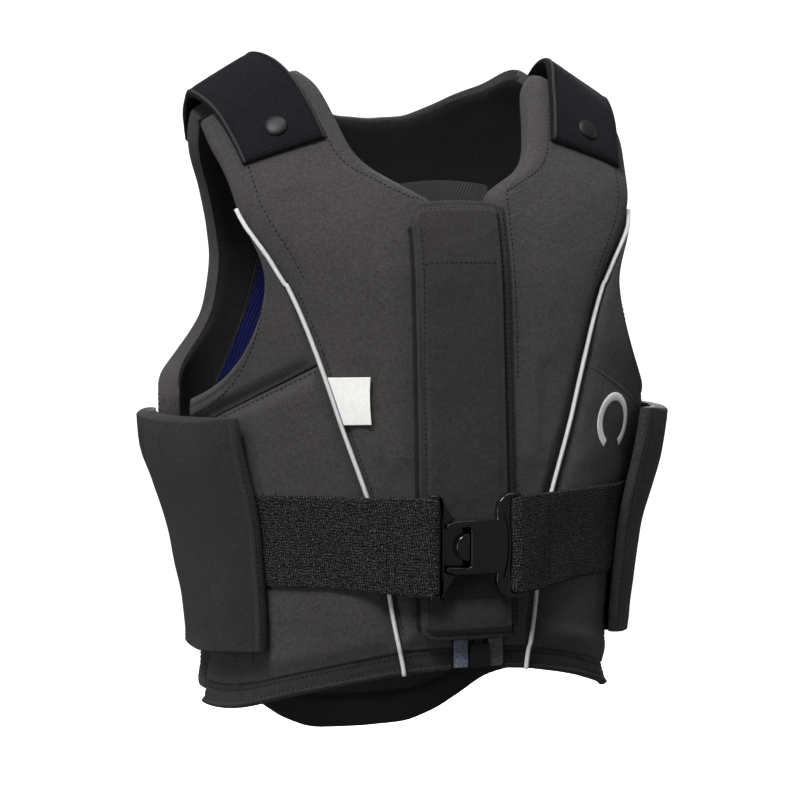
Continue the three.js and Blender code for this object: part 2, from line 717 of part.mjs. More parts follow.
function box(fromX, toX, halfHeight, corner = 0) {
  const corners = [
    { x: toX - corner, y: -halfHeight + corner, start: -rightAngle },
    { x: toX - corner, y: halfHeight - corner, start: 0 },
    { x: fromX + corner, y: halfHeight - corner, start: rightAngle },
    { x: fromX + corner, y: -halfHeight + corner, start: 2 * rightAngle },
  ];
  const turns = corner ? [0, 1 / 3, 2 / 3, 1] : [0];
  return new THREE.Shape(corners.flatMap(({ x, y, start }) => turns.map((turn) => {
    const angle = start + turn * rightAngle;
    return new THREE.Vector2(x + corner * Math.cos(angle), y + corner * Math.sin(angle));
  })));
}

// The flange that widens from the body to the strap and carries the bar
function flange(rootX, barX) {
  const out = Math.sign(barX - rootX);
  const narrow = buckleBodyHeight / 2;
  const wide = buckleFlangeHeight / 2;
  const end = barX + out * buckleBar;
  const slotStart = barX - out * slotReach;
  const shoulder = slotStart - out * buckleWall;
  const shape = new THREE.Shape();
  shape.moveTo(rootX, -narrow);
  shape.quadraticCurveTo(shoulder, -narrow, shoulder, -wide);
  shape.lineTo(end, -wide);
  shape.lineTo(end, wide);
  shape.lineTo(shoulder, wide);
  shape.quadraticCurveTo(shoulder, narrow, rootX, narrow);
  const near = (buckleThickness - buckleFlangeThickness) / 2;
  const plate = buckleBlock(shape, near, near + buckleFlangeThickness);
  const slot = box(Math.min(slotStart, end + out), Math.max(slotStart, end + out), slotLong / 2);
  const bar = new THREE.CylinderGeometry(buckleBar, buckleBar, slotLong + 2, 12);
  bar.rotateX(rightAngle);
  bar.translate(barX, -barDepth, -strapCentre);
  return plate.subtract(buckleBlock(slot, -1, buckleThickness + 1)).add(toSolid(bar));
}

function addBuckle() {
  const mid = buckleBack + buckleThickness / 2;
  const cavity = { near: buckleWall, far: buckleThickness - buckleWall };
  const tongueHalf = buckleBodyHeight / 2 - buckleWall - barClearance;
  const tongueEnd = socketEnd - buckleWall - 3;
  const body = buckleBlock(box(socketMouth, socketEnd, buckleBodyHeight / 2, 3), 0, buckleThickness);
  const hollow = buckleBlock(box(socketMouth - 1, tongueEnd + barClearance, tongueHalf + barClearance), cavity.near, cavity.far);
  const windowEnd = socketMouth + windowLength;
  const window = buckleBlock(box(socketMouth - 1, windowEnd, tongueHalf - 1, 1), cavity.far - 1, buckleThickness + 1);
  const socket = body.add(flange(socketEnd - 3, socketBarX)).subtract(hollow).subtract(window);
  add("buckle_socket", fromSolid(socket), buckleNylon);

  const tongueNear = cavity.near + barClearance;
  const tongueFar = mid - buckleBack + 1;
  const tongue = buckleBlock(box(plugBarX + slotReach + 0.6, tongueEnd, tongueHalf), tongueNear, tongueFar);
  const button = new THREE.Shape();
  const buttonX = windowEnd - barClearance;
  button.absarc(buttonX, 0, buttonRadius, rightAngle, 3 * rightAngle);
  const plug = tongue
    .add(buckleBlock(button, tongueFar - 1, buckleThickness - 1))
    .add(flange(socketMouth - layGap, plugBarX).intersect(
      buckleBlock(box(plugBarX - 10, socketMouth - layGap, buckleFlangeHeight), -1, buckleThickness),
    ));
  add("buckle_plug", fromSolid(plug), buckleNylon);
}

// One half of the elastic waist strap: from under the side pad, along the panels, then
// straight to the buckle, where it is folded round the bar
function waistStrap(barX, side) {
  const anchor = radians(strapAnchorAngle);
  const leaves = radians(strapLeavesAngle);
  const freeShare = 0.5;
  const loopRadius = buckleBar + barClearance + strapThickness;
  const endX = Math.abs(barX) + loopRadius * 0.5;
  const frontOfLoop = barDepth + loopRadius;
  const pointAt = (s, t, outer) => {
    const level = strapCentre + strapHeight * (0.5 - t);
    const run = level - strapRise * s;
    const offset = foam + layGap + (outer ? strapThickness : 0);
    if (s >= freeShare) return offBody(mix(leaves, anchor, (s - freeShare) / (1 - freeShare)), run, offset);
    const end = new THREE.Vector3(endX, -(frontOfLoop - (outer ? 0 : strapThickness)), -level);
    return end.lerp(offBody(leaves, run, offset), s / freeShare);
  };
  const columns = [0, 0.2, 0.4, ...evenShares(8).map((share) => mix(freeShare, 1, share))];
  const band = toSolid(slab(columns, evenShares(2), pointAt));
  const ring = new THREE.Shape();
  ring.absarc(0, 0, loopRadius, 0, 2 * Math.PI);
  const bore = new THREE.Path();
  bore.absarc(0, 0, buckleBar + barClearance, 0, 2 * Math.PI);
  ring.holes.push(bore);
  const loop = new THREE.ExtrudeGeometry(ring, { depth: strapHeight, bevelEnabled: false, curveSegments: 8 });
  loop.translate(Math.abs(barX), -barDepth, -strapCentre - strapHeight / 2);
  const half = fromSolid(band.add(toSolid(loop)));
  return side > 0 ? half : mirrored(half);
}

// Shoulder straps: from the back, over the shoulder and down onto the front panel
const strapInner = curveThrough(shoulderStrapEdges, "run", "inner");
const strapOuter = curveThrough(shoulderStrapEdges, "run", "outer");
const frontReach = shoulderStrapFront - frontLine;

function shoulderStrapPoint(s, share, offset) {
  const across = mix(strapInner(share), strapOuter(share), s);
  if (share < 0) return offBody(angleAcross(across), frontLine - share * frontReach, offset);
  return offBody(Math.PI - angleAcross(across), backLine + share * shoulderStrapBack, offset);
}

const strapSeat = (share) =>
  foam + layGap - shoulderStrapSink + shoulderStrapArch * (1 - share ** 2);

function shoulderStrap() {
  return slab(evenShares(5), evenShares(20), (s, t, outer) => {
    const share = 2 * t - 1;
    const inner = strapSeat(share);
    return shoulderStrapPoint(s, share, outer ? inner + shoulderStrapThickness : inner);
  });
}

// Press stud cap: a low dome on the front end of the shoulder strap
function snap() {
  const share = -1 + snapFromEnd / frontReach;
  const face = strapSeat(share) + shoulderStrapThickness + layGap * 0.7;
  const seat = shoulderStrapPoint(0.5, share, face);
  const axis = shoulderStrapPoint(0.5, share, face + 1).sub(seat).normalize();
  const radius = snapDiameter / 2;
  const profile = [
    [0, 0], [radius, 0], [radius, snapHeight * 0.35], [radius * 0.86, snapHeight * 0.7],
    [radius * 0.5, snapHeight * 0.93], [0, snapHeight],
  ];
  const cap = new THREE.LatheGeometry(profile.map(([x, y]) => new THREE.Vector2(x, y)), 20);
  cap.applyQuaternion(new THREE.Quaternion().setFromUnitVectors(new THREE.Vector3(0, 1, 0), axis));
  cap.translate(seat.x, seat.y, seat.z);
  return weldedLathe(cap);
}

function weldedLathe(geometry) {
  const bare = new THREE.BufferGeometry().setAttribute("position", geometry.attributes.position);
  bare.setIndex(geometry.index);
  return mergeVertices(bare, 1e-4);
}

// Blank woven tab caught in the wearer's right princess seam
function labelTab() {
  const tab = slab(evenShares(5), evenShares(3), (s, t, outer) => {
    const run = labelTop + labelHeight * (1 - t);
    const seam = angleMoved(seamAngle(run), run, -pipingDiameter / 2 - layGap);
    const angle = mix(angleAtX(labelFreeEdge, run), seam, s);
    const offset = foam + layGap + labelLift * (1 - s) ** 2 - labelSink * s ** 2;
    return offBody(angle, run, outer ? offset + labelThickness : offset);
  });
  return mirrored(tab);
}

add("back_panel", backPanel(), shellCloth);
add("back_lining", backLining(), meshLining);
// The zip's line is off the centre, so each front starts at its own distance from the centre
const zipEdges = { left: zipHalfWidth + layGap + zipShift, right: zipHalfWidth + layGap - zipShift };
add("front_centre_left", frontCentre(zipEdges.left), shellCloth);
add("front_centre_right", mirrored(frontCentre(zipEdges.right)), shellCloth);
addPair("front_armhole", frontArmholePiece(), shellCloth);
addPair("front_side", frontSide(), shellCloth);
add("hem_band_left", hemBand(zipEdges.left), shellCloth);
add("hem_band_right", mirrored(hemBand(zipEdges.right)), shellCloth);
addPair("piping", piping(), pipingCloth);
addZip();
addPlacket();
addPair("side_pad", sidePad(), shellCloth);
addBuckle();
add("waist_strap_left", waistStrap(socketBarX, 1), elasticCloth);
add("waist_strap_right", waistStrap(plugBarX, -1), elasticCloth);
addPair("shoulder_strap", shoulderStrap(), loopCloth);
addPair("snap", snap(), snapMetal);
add("label_tab", labelTab(), labelCloth);

export default vest;
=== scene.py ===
import math

import bmesh
import bpy
import numpy as np
from mathutils import Matrix, Vector
from mathutils.bvhtree import BVHTree


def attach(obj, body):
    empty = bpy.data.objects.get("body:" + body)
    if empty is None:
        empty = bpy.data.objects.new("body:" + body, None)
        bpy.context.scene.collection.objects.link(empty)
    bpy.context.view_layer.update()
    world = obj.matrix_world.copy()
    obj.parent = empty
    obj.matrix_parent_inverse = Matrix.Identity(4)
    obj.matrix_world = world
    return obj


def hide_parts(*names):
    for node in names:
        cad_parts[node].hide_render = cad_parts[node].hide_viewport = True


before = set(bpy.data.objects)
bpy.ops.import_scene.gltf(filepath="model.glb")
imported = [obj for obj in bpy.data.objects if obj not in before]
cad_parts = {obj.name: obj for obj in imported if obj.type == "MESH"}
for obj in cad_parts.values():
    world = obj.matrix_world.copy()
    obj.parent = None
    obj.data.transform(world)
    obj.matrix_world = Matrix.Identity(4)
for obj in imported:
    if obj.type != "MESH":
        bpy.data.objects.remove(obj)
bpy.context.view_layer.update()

mm = 0.001
pi = math.pi
scene = bpy.context.scene


# The rows of a table as dictionaries with the columns' names
def table(columns, rows):
    return [dict(zip(columns.split(), row)) for row in rows]


# The wearer's body, as in the solid model: lengths in millimetres, run is measured down from
# the shoulder tops, across is a share of the half width there
body = {
    "length": 472, "halfWidth": 156, "frontDepth": 112, "backDepth": 98, "roundness": 2.3,
    "shoulderRoundness": 1.6, "slope": 0.65, "neckPoint": 90, "neckEasing": 40, "turn": 150,
    "frontTurn": 0.297 * 472, "backTurn": 0.254 * 472, "foam": 16, "foamEdge": 10,
    "meanRadius": 125,
}
sections = table("down width front back", [
    (-0.13, 0.974, 0.768, 0.796), (0.064, 0.974, 0.768, 0.816), (0.18, 0.974, 0.804, 0.898),
    (0.318, 0.98, 0.857, 1.0), (0.477, 1.0, 0.902, 0.98), (0.667, 0.872, 0.946, 0.878),
    (0.826, 0.808, 0.991, 0.837), (0.932, 0.846, 1.0, 0.857), (1.06, 0.846, 1.0, 0.878),
])
chestFlatness = table("down exponent", [
    (0.19, 6), (0.2415, 4), (0.28, 2.8), (0.38, 2.5), (0.5, 2.3),
])


def curveThrough(rows, source, target):
    xs = np.array([row[source] for row in rows], float)
    ys = np.array([row[target] for row in rows], float)
    if xs[0] > xs[-1]:
        xs, ys = xs[::-1], ys[::-1]
    secants = np.diff(ys) / np.diff(xs)
    slopes = np.empty(len(xs))
    slopes[0], slopes[-1] = secants[0], secants[-1]
    for i in range(1, len(xs) - 1):
        before, after = secants[i - 1], secants[i]
        slopes[i] = 0 if before * after <= 0 else 2 * before * after / (before + after)

    def curve(x):
        at = np.clip(x, xs[0], xs[-1])
        i = np.clip(np.searchsorted(xs, at, side="right") - 1, 0, len(xs) - 2)
        span = xs[i + 1] - xs[i]
        t = (at - xs[i]) / span
        rise = ys[i + 1] - ys[i]
        bend = slopes[i] * span * t * (1 - t) ** 2 - slopes[i + 1] * span * t * t * (1 - t)
        return ys[i] + rise * t * t * (3 - 2 * t) + bend

    return curve


widthAt = curveThrough(sections, "down", "width")
frontAt = curveThrough(sections, "down", "front")
backAt = curveThrough(sections, "down", "back")
rawFlatness = curveThrough(chestFlatness, "down", "exponent")


# A curve averaged over a little of its length, so that no knot shows as a kink
def eased(curve, reach, samples=6):
    places = np.arange(-80, 520, 1.0)
    nearby = range(-samples, samples + 1)
    values = sum(curve(places + reach * k / samples) for k in nearby) / len(nearby)
    return lambda at: np.interp(at, places, values)


flatnessAt = eased(lambda run: rawFlatness(run / body["length"]), 12)


def signedPower(value, exponent):
    return np.sign(value) * np.abs(value) ** exponent


def bodyPoint(angle, run):
    angle, run = np.broadcast_arrays(np.asarray(angle, float), np.asarray(run, float))
    behind = np.cos(angle) < 0
    turn = np.where(behind, body["backTurn"], body["frontTurn"])
    down = np.maximum(run, 0) / body["length"]
    x = body["halfWidth"] * widthAt(down) * signedPower(np.sin(angle), 2 / body["roundness"])
    lean = np.clip((turn - run) / body["turn"], 0, None) * pi / 2
    line = -body["slope"] * (
        np.hypot(x, body["neckEasing"]) - math.hypot(body["neckPoint"], body["neckEasing"]))
    rise = np.abs(np.sin(lean)) ** (2 / body["shoulderRoundness"])
    over = run < turn
    height = np.where(over, -turn + (line + turn) * rise, -run)
    closing = np.where(over, signedPower(np.cos(lean), 2 / body["shoulderRoundness"]), 1)
    level = -height / body["length"]
    depth = np.where(
        behind, body["backDepth"] * backAt(level), body["frontDepth"] * frontAt(level)) * closing
    exponent = np.where(behind, body["roundness"], flatnessAt(down * body["length"]))
    y = -depth * np.sign(np.cos(angle)) * np.abs(np.cos(angle)) ** (2 / exponent)
    return np.stack([x, y, height], axis=-1)


def bodyNormal(angle, run):
    around = bodyPoint(angle + 0.002, run) - bodyPoint(angle - 0.002, run)
    upwards = bodyPoint(angle, run - 0.3) - bodyPoint(angle, run + 0.3)
    normal = np.cross(around, upwards)
    return normal / np.linalg.norm(normal, axis=-1, keepdims=True)


def offBody(angle, run, offset):
    angle = np.asarray(angle, float)
    run = np.asarray(run, float)
    return bodyPoint(angle, run) + bodyNormal(angle, run) * np.asarray(offset, float)[..., None]


def angleAcross(across):
    return np.arcsin(np.clip(across, 0, 1) ** (body["roundness"] / 2))


def angleAtX(x, run):
    share = np.asarray(x) / (body["halfWidth"] * widthAt(np.maximum(run, 0) / body["length"]))
    return np.arcsin(signedPower(np.clip(share, -1, 1), body["roundness"] / 2))


def angleMoved(angle, run, length):
    speed = np.linalg.norm(bodyPoint(angle + 0.01, run) - bodyPoint(angle - 0.01, run), axis=-1)
    return angle + length * 0.02 / speed


def outline(rows):
    across = curveThrough(rows, "down", "across")
    return lambda run: angleAcross(across(np.asarray(run) / body["length"]))


def lowerEdge(rows):
    down = curveThrough(rows, "across", "down")
    return lambda angle: body["length"] * down(np.abs(np.sin(angle)) ** (2 / body["roundness"]))


def mix(a, b, t):
    return a + (b - a) * t


def smooth(value, low, high):
    t = np.clip((value - low) / (high - low), 0, 1)
    return t * t * (3 - 2 * t)


# A smooth ridge of height one
def ridge(value, centre, width):
    return np.exp(-((value - centre) / width) ** 2)


# One between the two middle limits, easing to nothing at the outer two
def band(value, low, lowFull, highFull, high):
    return smooth(value, low, lowFull) * (1 - smooth(value, highFull, high))


# Shader building: a socket that formulas can be written with
class Wire:
    def __init__(self, tree, socket):
        self.tree = tree
        self.socket = socket

    def node(self, kind, inputs=None, output=0, **settings):
        made = self.tree.nodes.new(kind)
        for key, value in settings.items():
            setattr(made, key, value)
        for key, value in (inputs or {}).items():
            if isinstance(value, Wire):
                self.tree.links.new(value.socket, made.inputs[key])
            else:
                made.inputs[key].default_value = value
        return Wire(self.tree, made.outputs[output])

    def maths(self, operation, *values):
        return self.node("ShaderNodeMath", dict(enumerate(values)), operation=operation)

    def __add__(self, other):
        return self.maths("ADD", self, other)

    def __mul__(self, other):
        return self.maths("MULTIPLY", self, other)

    def __sub__(self, other):
        return self.maths("SUBTRACT", self, other)

    def __rsub__(self, other):
        return self.maths("SUBTRACT", other, self)

    def __pow__(self, other):
        return self.maths("POWER", self, other)

    __radd__ = __add__

    def into(self, node, name):
        self.tree.links.new(self.socket, node.inputs[name])


def sine(wire):
    return wire.maths("SINE", wire)


def absolute(wire):
    return wire.maths("ABSOLUTE", wire)


def atLeast(wire, floor):
    return wire.maths("MAXIMUM", wire, floor)


def startMaterial(name, colour, roughness):
    made = bpy.data.materials.new(name)
    made.use_nodes = True
    tree = made.node_tree
    shader = tree.nodes["Principled BSDF"]
    shader.inputs["Base Color"].default_value = (*colour, 1)
    shader.inputs["Roughness"].default_value = roughness
    made.diffuse_color = (*colour, 1)
    start = Wire(tree, None)
    place = start.node("ShaderNodeTexCoord", output="Object")
    cloth = start.node("ShaderNodeUVMap", uv_map="cloth")
    u = start.node("ShaderNodeSeparateXYZ", {0: cloth}, output="X")
    v = start.node("ShaderNodeSeparateXYZ", {0: cloth}, output="Y")
    return made, shader, place, u, v


def noiseOf(place, scale, detail=3, roughness=0.55):
    return place.node(
        "ShaderNodeTexNoise", {"Vector": place, "Scale": scale, "Detail": detail, "Roughness": roughness})


def tint(shader, colour, factor):
    hsv = factor.node("ShaderNodeHueSaturation", {"Color": (*colour, 1), "Value": factor})
    hsv.into(shader, "Base Color")


def bump(shader, height, distance, strength=1.0):
    relief = height.node(
        "ShaderNodeBump", {"Height": height, "Distance": distance, "Strength": strength}, output="Normal")
    relief.into(shader, "Normal")


# Plain woven nylon over foam: a fine weave, faint mottling and soft creasing
def wovenCloth(name, colour, roughness, pitch, depth, mottling=0.16, grain=1.0):
    made, shader, place, u, v = startMaterial(name, colour, roughness)
    weave = sine(u * (2 * pi / pitch)) * sine(v * (2 * pi / pitch))
    blotches = noiseOf(place, 22, 4)
    fibres = noiseOf(place, 900, 2)
    flecks = noiseOf(place, 420, 2)
    factor = 1 + (blotches - 0.5) * (2 * mottling) + (fibres - 0.5) * (1.2 * grain) + (
        flecks - 0.5) * (0.9 * grain) + weave * 0.12
    tint(shader, colour, factor)
    (roughness + (blotches - 0.5) * 0.12).into(shader, "Roughness")
    creases = noiseOf(place, 42, 3) * 6 + noiseOf(place, 160, 2) * 2.4
    bump(shader, weave * 0.5 + (fibres + flecks) * (1.5 * grain) + creases, depth)
    shader.inputs["Sheen Weight"].default_value = 0.06
    shader.inputs["Sheen Roughness"].default_value = 0.5
    shader.inputs["Specular IOR Level"].default_value = 0.24
    return made


# Brushed loop pile: rows of tangled loops
def loopPile(name, colour):
    made, shader, place, u, v = startMaterial(name, colour, 0.95)
    rows = absolute(sine(v * (pi / 0.0013))) * absolute(sine(u * (pi / 0.0016)))
    tangle = noiseOf(place, 1100, 3, 0.7)
    lumps = noiseOf(place, 420, 2)
    height = rows * 0.3 + tangle + lumps * 0.7
    tint(shader, colour, (0.25 + tangle * 0.8 + rows * 0.25 + lumps * 0.5) ** 2.2)
    bump(shader, height, 0.0008)
    shader.inputs["Sheen Weight"].default_value = 0.04
    shader.inputs["Sheen Roughness"].default_value = 0.4
    shader.inputs["Sheen Tint"].default_value = (0.6, 0.58, 0.72, 1)
    shader.inputs["Specular IOR Level"].default_value = 0.12
    return made


# Wide knitted elastic: upright ribs broken into stitches
def ribbedElastic(name, colour):
    made, shader, place, u, v = startMaterial(name, colour, 0.85)
    wander = noiseOf(place, 300, 2) * 5
    ribs = absolute(sine(u * (pi / 0.0016) + wander))
    knots = absolute(sine(v * (pi / 0.0019) + wander * 1.7))
    grit = noiseOf(place, 620, 2)
    height = ribs * knots + grit * 1.5
    tint(shader, colour, (ribs * knots * 0.8 + grit * 1.25) ** 3.6)
    bump(shader, height, 0.0011)
    shader.inputs["Sheen Weight"].default_value = 0.02
    shader.inputs["Specular IOR Level"].default_value = 0.14
    return made


# Spacer mesh: a diamond grid of small holes
def spacerMesh(name, colour, pitch):
    made, shader, place, u, v = startMaterial(name, colour, 0.75)
    holes = absolute(sine((u + v) * (pi / pitch))) * absolute(sine((u - v) * (pi / pitch)))
    grit = noiseOf(place, 800, 2)
    tint(shader, colour, 0.25 + (1 - holes) ** 2 * 1.1 + grit * 0.3)
    bump(shader, (1 - holes) ** 2 + grit * 0.2, 0.0007)
    shader.inputs["Sheen Weight"].default_value = 0.03
    shader.inputs["Specular IOR Level"].default_value = 0.25
    return made


# Silver reflective tape wrapped round a cord
def silverTape(name, colour):
    made, shader, place, u, v = startMaterial(name, colour, 0.42)
    weave = sine(u * (2 * pi / 0.0006)) * sine(v * (2 * pi / 0.0006))
    grit = noiseOf(place, 500, 3)
    tint(shader, colour, 0.85 + weave * 0.08 + grit * 0.25)
    (0.34 + grit * 0.2).into(shader, "Roughness")
    bump(shader, weave * 0.5 + grit, 0.0002)
    shader.inputs["Metallic"].default_value = 0.25
    return made


# Moulded plastic: glossy black with a faint orange-peel and soft scuffs
def mouldedPlastic(name, colour, roughness, coat):
    made, shader, place, u, v = startMaterial(name, colour, roughness)
    peel = noiseOf(place, 260, 2)
    scuffs = noiseOf(place, 45, 5, 0.7)
    tint(shader, colour, 0.85 + scuffs * 0.3)
    (roughness + (scuffs - 0.45) * 0.22).into(shader, "Roughness")
    bump(shader, peel + scuffs * 0.4, 0.00006)
    shader.inputs["Specular IOR Level"].default_value = 0.2
    shader.inputs["Coat Weight"].default_value = coat
    shader.inputs["Coat Roughness"].default_value = 0.12
    return made


# Clear film over woven tape: cloudy patches and bright specks
def mottledFilm(name, colour):
    made, shader, place, u, v = startMaterial(name, colour, 0.25)
    clouds = noiseOf(place, 520, 3, 0.7)
    specks = atLeast(noiseOf(place, 900, 1) - 0.62, 0.0)
    tint(shader, colour, clouds ** 2.2 * 2.6 + 0.2 + specks * 9)
    bump(shader, clouds + specks * 2, 0.0003)
    (0.16 + clouds * 0.3).into(shader, "Roughness")
    shader.inputs["Coat Weight"].default_value = 0.6
    return made


def threadLike(name, colour, roughness=0.6):
    made, shader, place, u, v = startMaterial(name, colour, roughness)
    twist = noiseOf(place, 2500, 2)
    tint(shader, colour, 0.7 + twist * 0.6)
    bump(shader, twist, 0.00015)
    shader.inputs["Specular IOR Level"].default_value = 0.25
    return made


def lacqueredMetal(name, colour):
    made, shader, place, u, v = startMaterial(name, colour, 0.5)
    scuffs = noiseOf(place, 300, 4, 0.65)
    (0.38 + scuffs * 0.24).into(shader, "Roughness")
    tint(shader, colour, 0.8 + scuffs * 0.4)
    bump(shader, scuffs, 0.00003)
    shader.inputs["Specular IOR Level"].default_value = 0.32
    return made


shellCloth = wovenCloth("shellCloth", (0.054, 0.0508, 0.0492), 0.72, 0.0007, 0.0004)
# A darker copy of the shell nylon, painted shade, for the placket flap, its sewn strip and the shoulder straps'
# bindings
shadedFlapCloth = wovenCloth("shadedFlapCloth", (0.0295, 0.0272, 0.026), 0.74, 0.0007, 0.0004)
# A darker copy of the shell nylon, painted shade: for the side pads and for the hem band, which sits in the
# shade of the panels' feet
shadedPadCloth = wovenCloth("shadedPadCloth", (0.0225, 0.0225, 0.0223), 0.72, 0.0007, 0.0004)
# The facing's own black cloth, darkened further as painted shade inside the back; the hook tape and zip tapes
# share it
facingClothAndShade = wovenCloth("facingClothAndShade", (0.0145, 0.0142, 0.0145), 0.9, 0.0012, 0.0009, 0.5)
loopCloth = loopPile("loopCloth", (0.0078, 0.0073, 0.0092))
elasticCloth = ribbedElastic("elasticCloth", (0.021, 0.021, 0.0212))
blueMesh = spacerMesh("blueMesh", (0.0035, 0.007, 0.14), 0.0032)
greyMesh = spacerMesh("greyMesh", (0.03, 0.031, 0.034), 0.0022)
silverCord = silverTape("silverCord", (0.75, 0.76, 0.78))
buckleNylon = mouldedPlastic("buckleNylon", (0.003, 0.003, 0.0034), 0.13, 1.0)
zipNylon = mouldedPlastic("zipNylon", (0.006, 0.006, 0.007), 0.35, 0.2)
filmPlastic = mottledFilm("filmPlastic", (0.12, 0.15, 0.2))
# A darker copy of the film, painted shade for the left film end
filmShaded = mottledFilm("filmShaded", (0.06, 0.063, 0.07))
labelCloth = wovenCloth("labelCloth", (0.84, 0.84, 0.81), 0.6, 0.0005, 0.00008, 0.03, 0.2)
snapLacquer = lacqueredMetal("snapLacquer", (0.008, 0.008, 0.0085))
# Thread darker than the cloth: the thread's own black plus painted shade of the needle holes, so the rows read
# as dark dashes
blackThreadAndHoleShade = threadLike("blackThreadAndHoleShade", (0.0025, 0.0025, 0.0025), 0.9)
whiteThread = threadLike("whiteThread", (0.8, 0.8, 0.78), 0.45)
print("materials done")


# A mesh piece from points in millimetres, in place, with the cloth's own coordinates in metres
def makePiece(name, points, faces, material, uv=None, node=None):
    mesh = bpy.data.meshes.new(name)
    mesh.from_pydata((np.asarray(points) * mm).tolist(), [], [list(map(int, f)) for f in faces])
    mesh.update()
    if uv is not None:
        layer = mesh.uv_layers.new(name="cloth")
        corners = np.empty(len(mesh.loops), np.int32)
        mesh.loops.foreach_get("vertex_index", corners)
        layer.data.foreach_set("uv", np.asarray(uv, np.float32)[corners].ravel())
    mesh.materials.append(material)
    mesh.polygons.foreach_set("use_smooth", [True] * len(mesh.polygons))
    made = bpy.data.objects.new(name, mesh)
    scene.collection.objects.link(made)
    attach(made, "root")
    if node:
        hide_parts(node)
    return made


def select(made):
    bpy.ops.object.select_all(action="DESELECT")
    made.select_set(True)
    bpy.context.view_layer.objects.active = made


# Places along an edge, close together at both ends and coarse between
def gradedShares(length, fine, coarse, growth=1.45):
    steps = []
    step = fine
    while sum(steps) < length * 0.5 and step < coarse:
        steps.append(step)
        step *= growth
    middle = max(length - 2 * sum(steps), coarse)
    steps = steps + [middle / round(middle / coarse)] * round(middle / coarse) + steps[::-1]
    shares = np.concatenate([[0], np.cumsum(steps)])
    return shares / shares[-1]


def arcs(points, axis):
    steps = np.linalg.norm(np.diff(points, axis=axis), axis=-1)
    start = np.zeros_like(np.take(steps, [0], axis=axis))
    return np.concatenate([start, np.cumsum(steps, axis=axis)], axis=axis)


# The faces of a closed slab between two grids of points, the outer one first
def slabFaces(high, wide):
    faces = []
    back, top, end = high * wide, high - 1, wide - 1

    def at(i, j, outer=True):
        return (0 if outer else back) + j * wide + i

    for j in range(high - 1):
        for i in range(wide - 1):
            faces.append((at(i, j), at(i + 1, j), at(i + 1, j + 1), at(i, j + 1)))
            faces.append((
                at(i, j, False), at(i, j + 1, False), at(i + 1, j + 1, False), at(i + 1, j, False)))
    for i in range(wide - 1):
        faces.append((at(i, 0), at(i, 0, False), at(i + 1, 0, False), at(i + 1, 0)))
        faces.append((at(i, top), at(i + 1, top), at(i + 1, top, False), at(i, top, False)))
    for j in range(high - 1):
        faces.append((at(0, j), at(0, j + 1), at(0, j + 1, False), at(0, j, False)))
        faces.append((at(end, j), at(end, j, False), at(end, j + 1, False), at(end, j + 1)))
    return faces


# How the outer face of a panel falls off towards an edge, by the kind of that edge
def edgeDrop(distance, kind, full):
    near = np.clip(distance, 0, None)
    if kind == "seam":
        deep = full - body["foamEdge"] - 1
        return deep * (1 - smooth(near, 0, 11)) + 0.7 * ridge(near, 3.5, 1.2)
    if kind == "flush":
        return 0.15 * ridge(near, 0, 1.3)
    if kind == "foot":
        return 6.5 * (1 - smooth(near, -3, 15)) + 0.8 * ridge(near, 19, 4)
    if kind == "flap":
        return (full - 2.4) * (1 - smooth(near, 4.6, 6.6)) + 1.3 * (1 - smooth(near, 0, 1.2))
    if kind == "fold":
        inside = np.clip(1 - near / 2.5, 0, 1)
        return 2.4 * (1 - np.sqrt(1 - inside ** 2)) + 0.5 * ridge(near, 4.5, 1.5)
    if kind == "wall":
        lip = 1.7 * np.clip(1 - near / 1.7, 0, 1) ** 2 + 0.6 * ridge(near, 4.2, 0.8)
        return (full - 7.5) * (1 - smooth(near, 1, 24)) + lip - 0.5 * ridge(near, 2.2, 0.8)
    if kind == "boxed":
        return full * 0.5 * (1 - smooth(near, -1, 2.4)) + 0.3 * ridge(near, 4.5, 0.9)
    if kind == "bound":
        inside = np.clip(1 - near / 6, 0, 1)
        rolled = full * 0.62 * (1 - np.sqrt(1 - inside ** 2))
        return rolled + 0.8 * ridge(near, 8, 1.1) - 0.35 * ridge(near, 6, 1)
    return full * 0.3 * (1 - smooth(near, 0, 8))


# An edge may be of one kind above a run and of another below it
def edgeFall(distance, kind, full, run):
    if isinstance(kind, str):
        return edgeDrop(distance, kind, full)
    above, below, limit = kind
    return mix(edgeDrop(distance, above, full), edgeDrop(distance, below, full),
               smooth(run, limit - 6, limit + 10))


# Parts of the panels that straps and pads press on, where the cloth can't swell
def pressed(angle, run):
    x = np.abs(bodyPoint(angle, run)[..., 0])
    front, degrees = np.cos(angle) > 0, np.abs(np.degrees(angle))
    placket = front * (1 - smooth(x, 34, 42)) * band(run, 96, 106, 380, 390)
    pad = band(degrees, 52, 58, 112, 120) * band(run, 220, 230, 392, 400)
    shoulder = 1 - smooth(run, 66, 78)
    tab = front * band(x, 50, 58, 88, 96) * band(run, 188, 200, 238, 250)
    belt = (degrees < 80) * (1 - smooth(np.abs(run - 305), 38, 47))
    return 1 - np.clip(np.maximum.reduce([belt, placket, pad, shoulder, tab]), 0, 1)


# Blender's cloth blows the padding up; what it finds is capped and kept off the pressed parts
swelling = {"pressure": 4.0, "stiffness": 12, "bending": 0.4, "steps": 14}


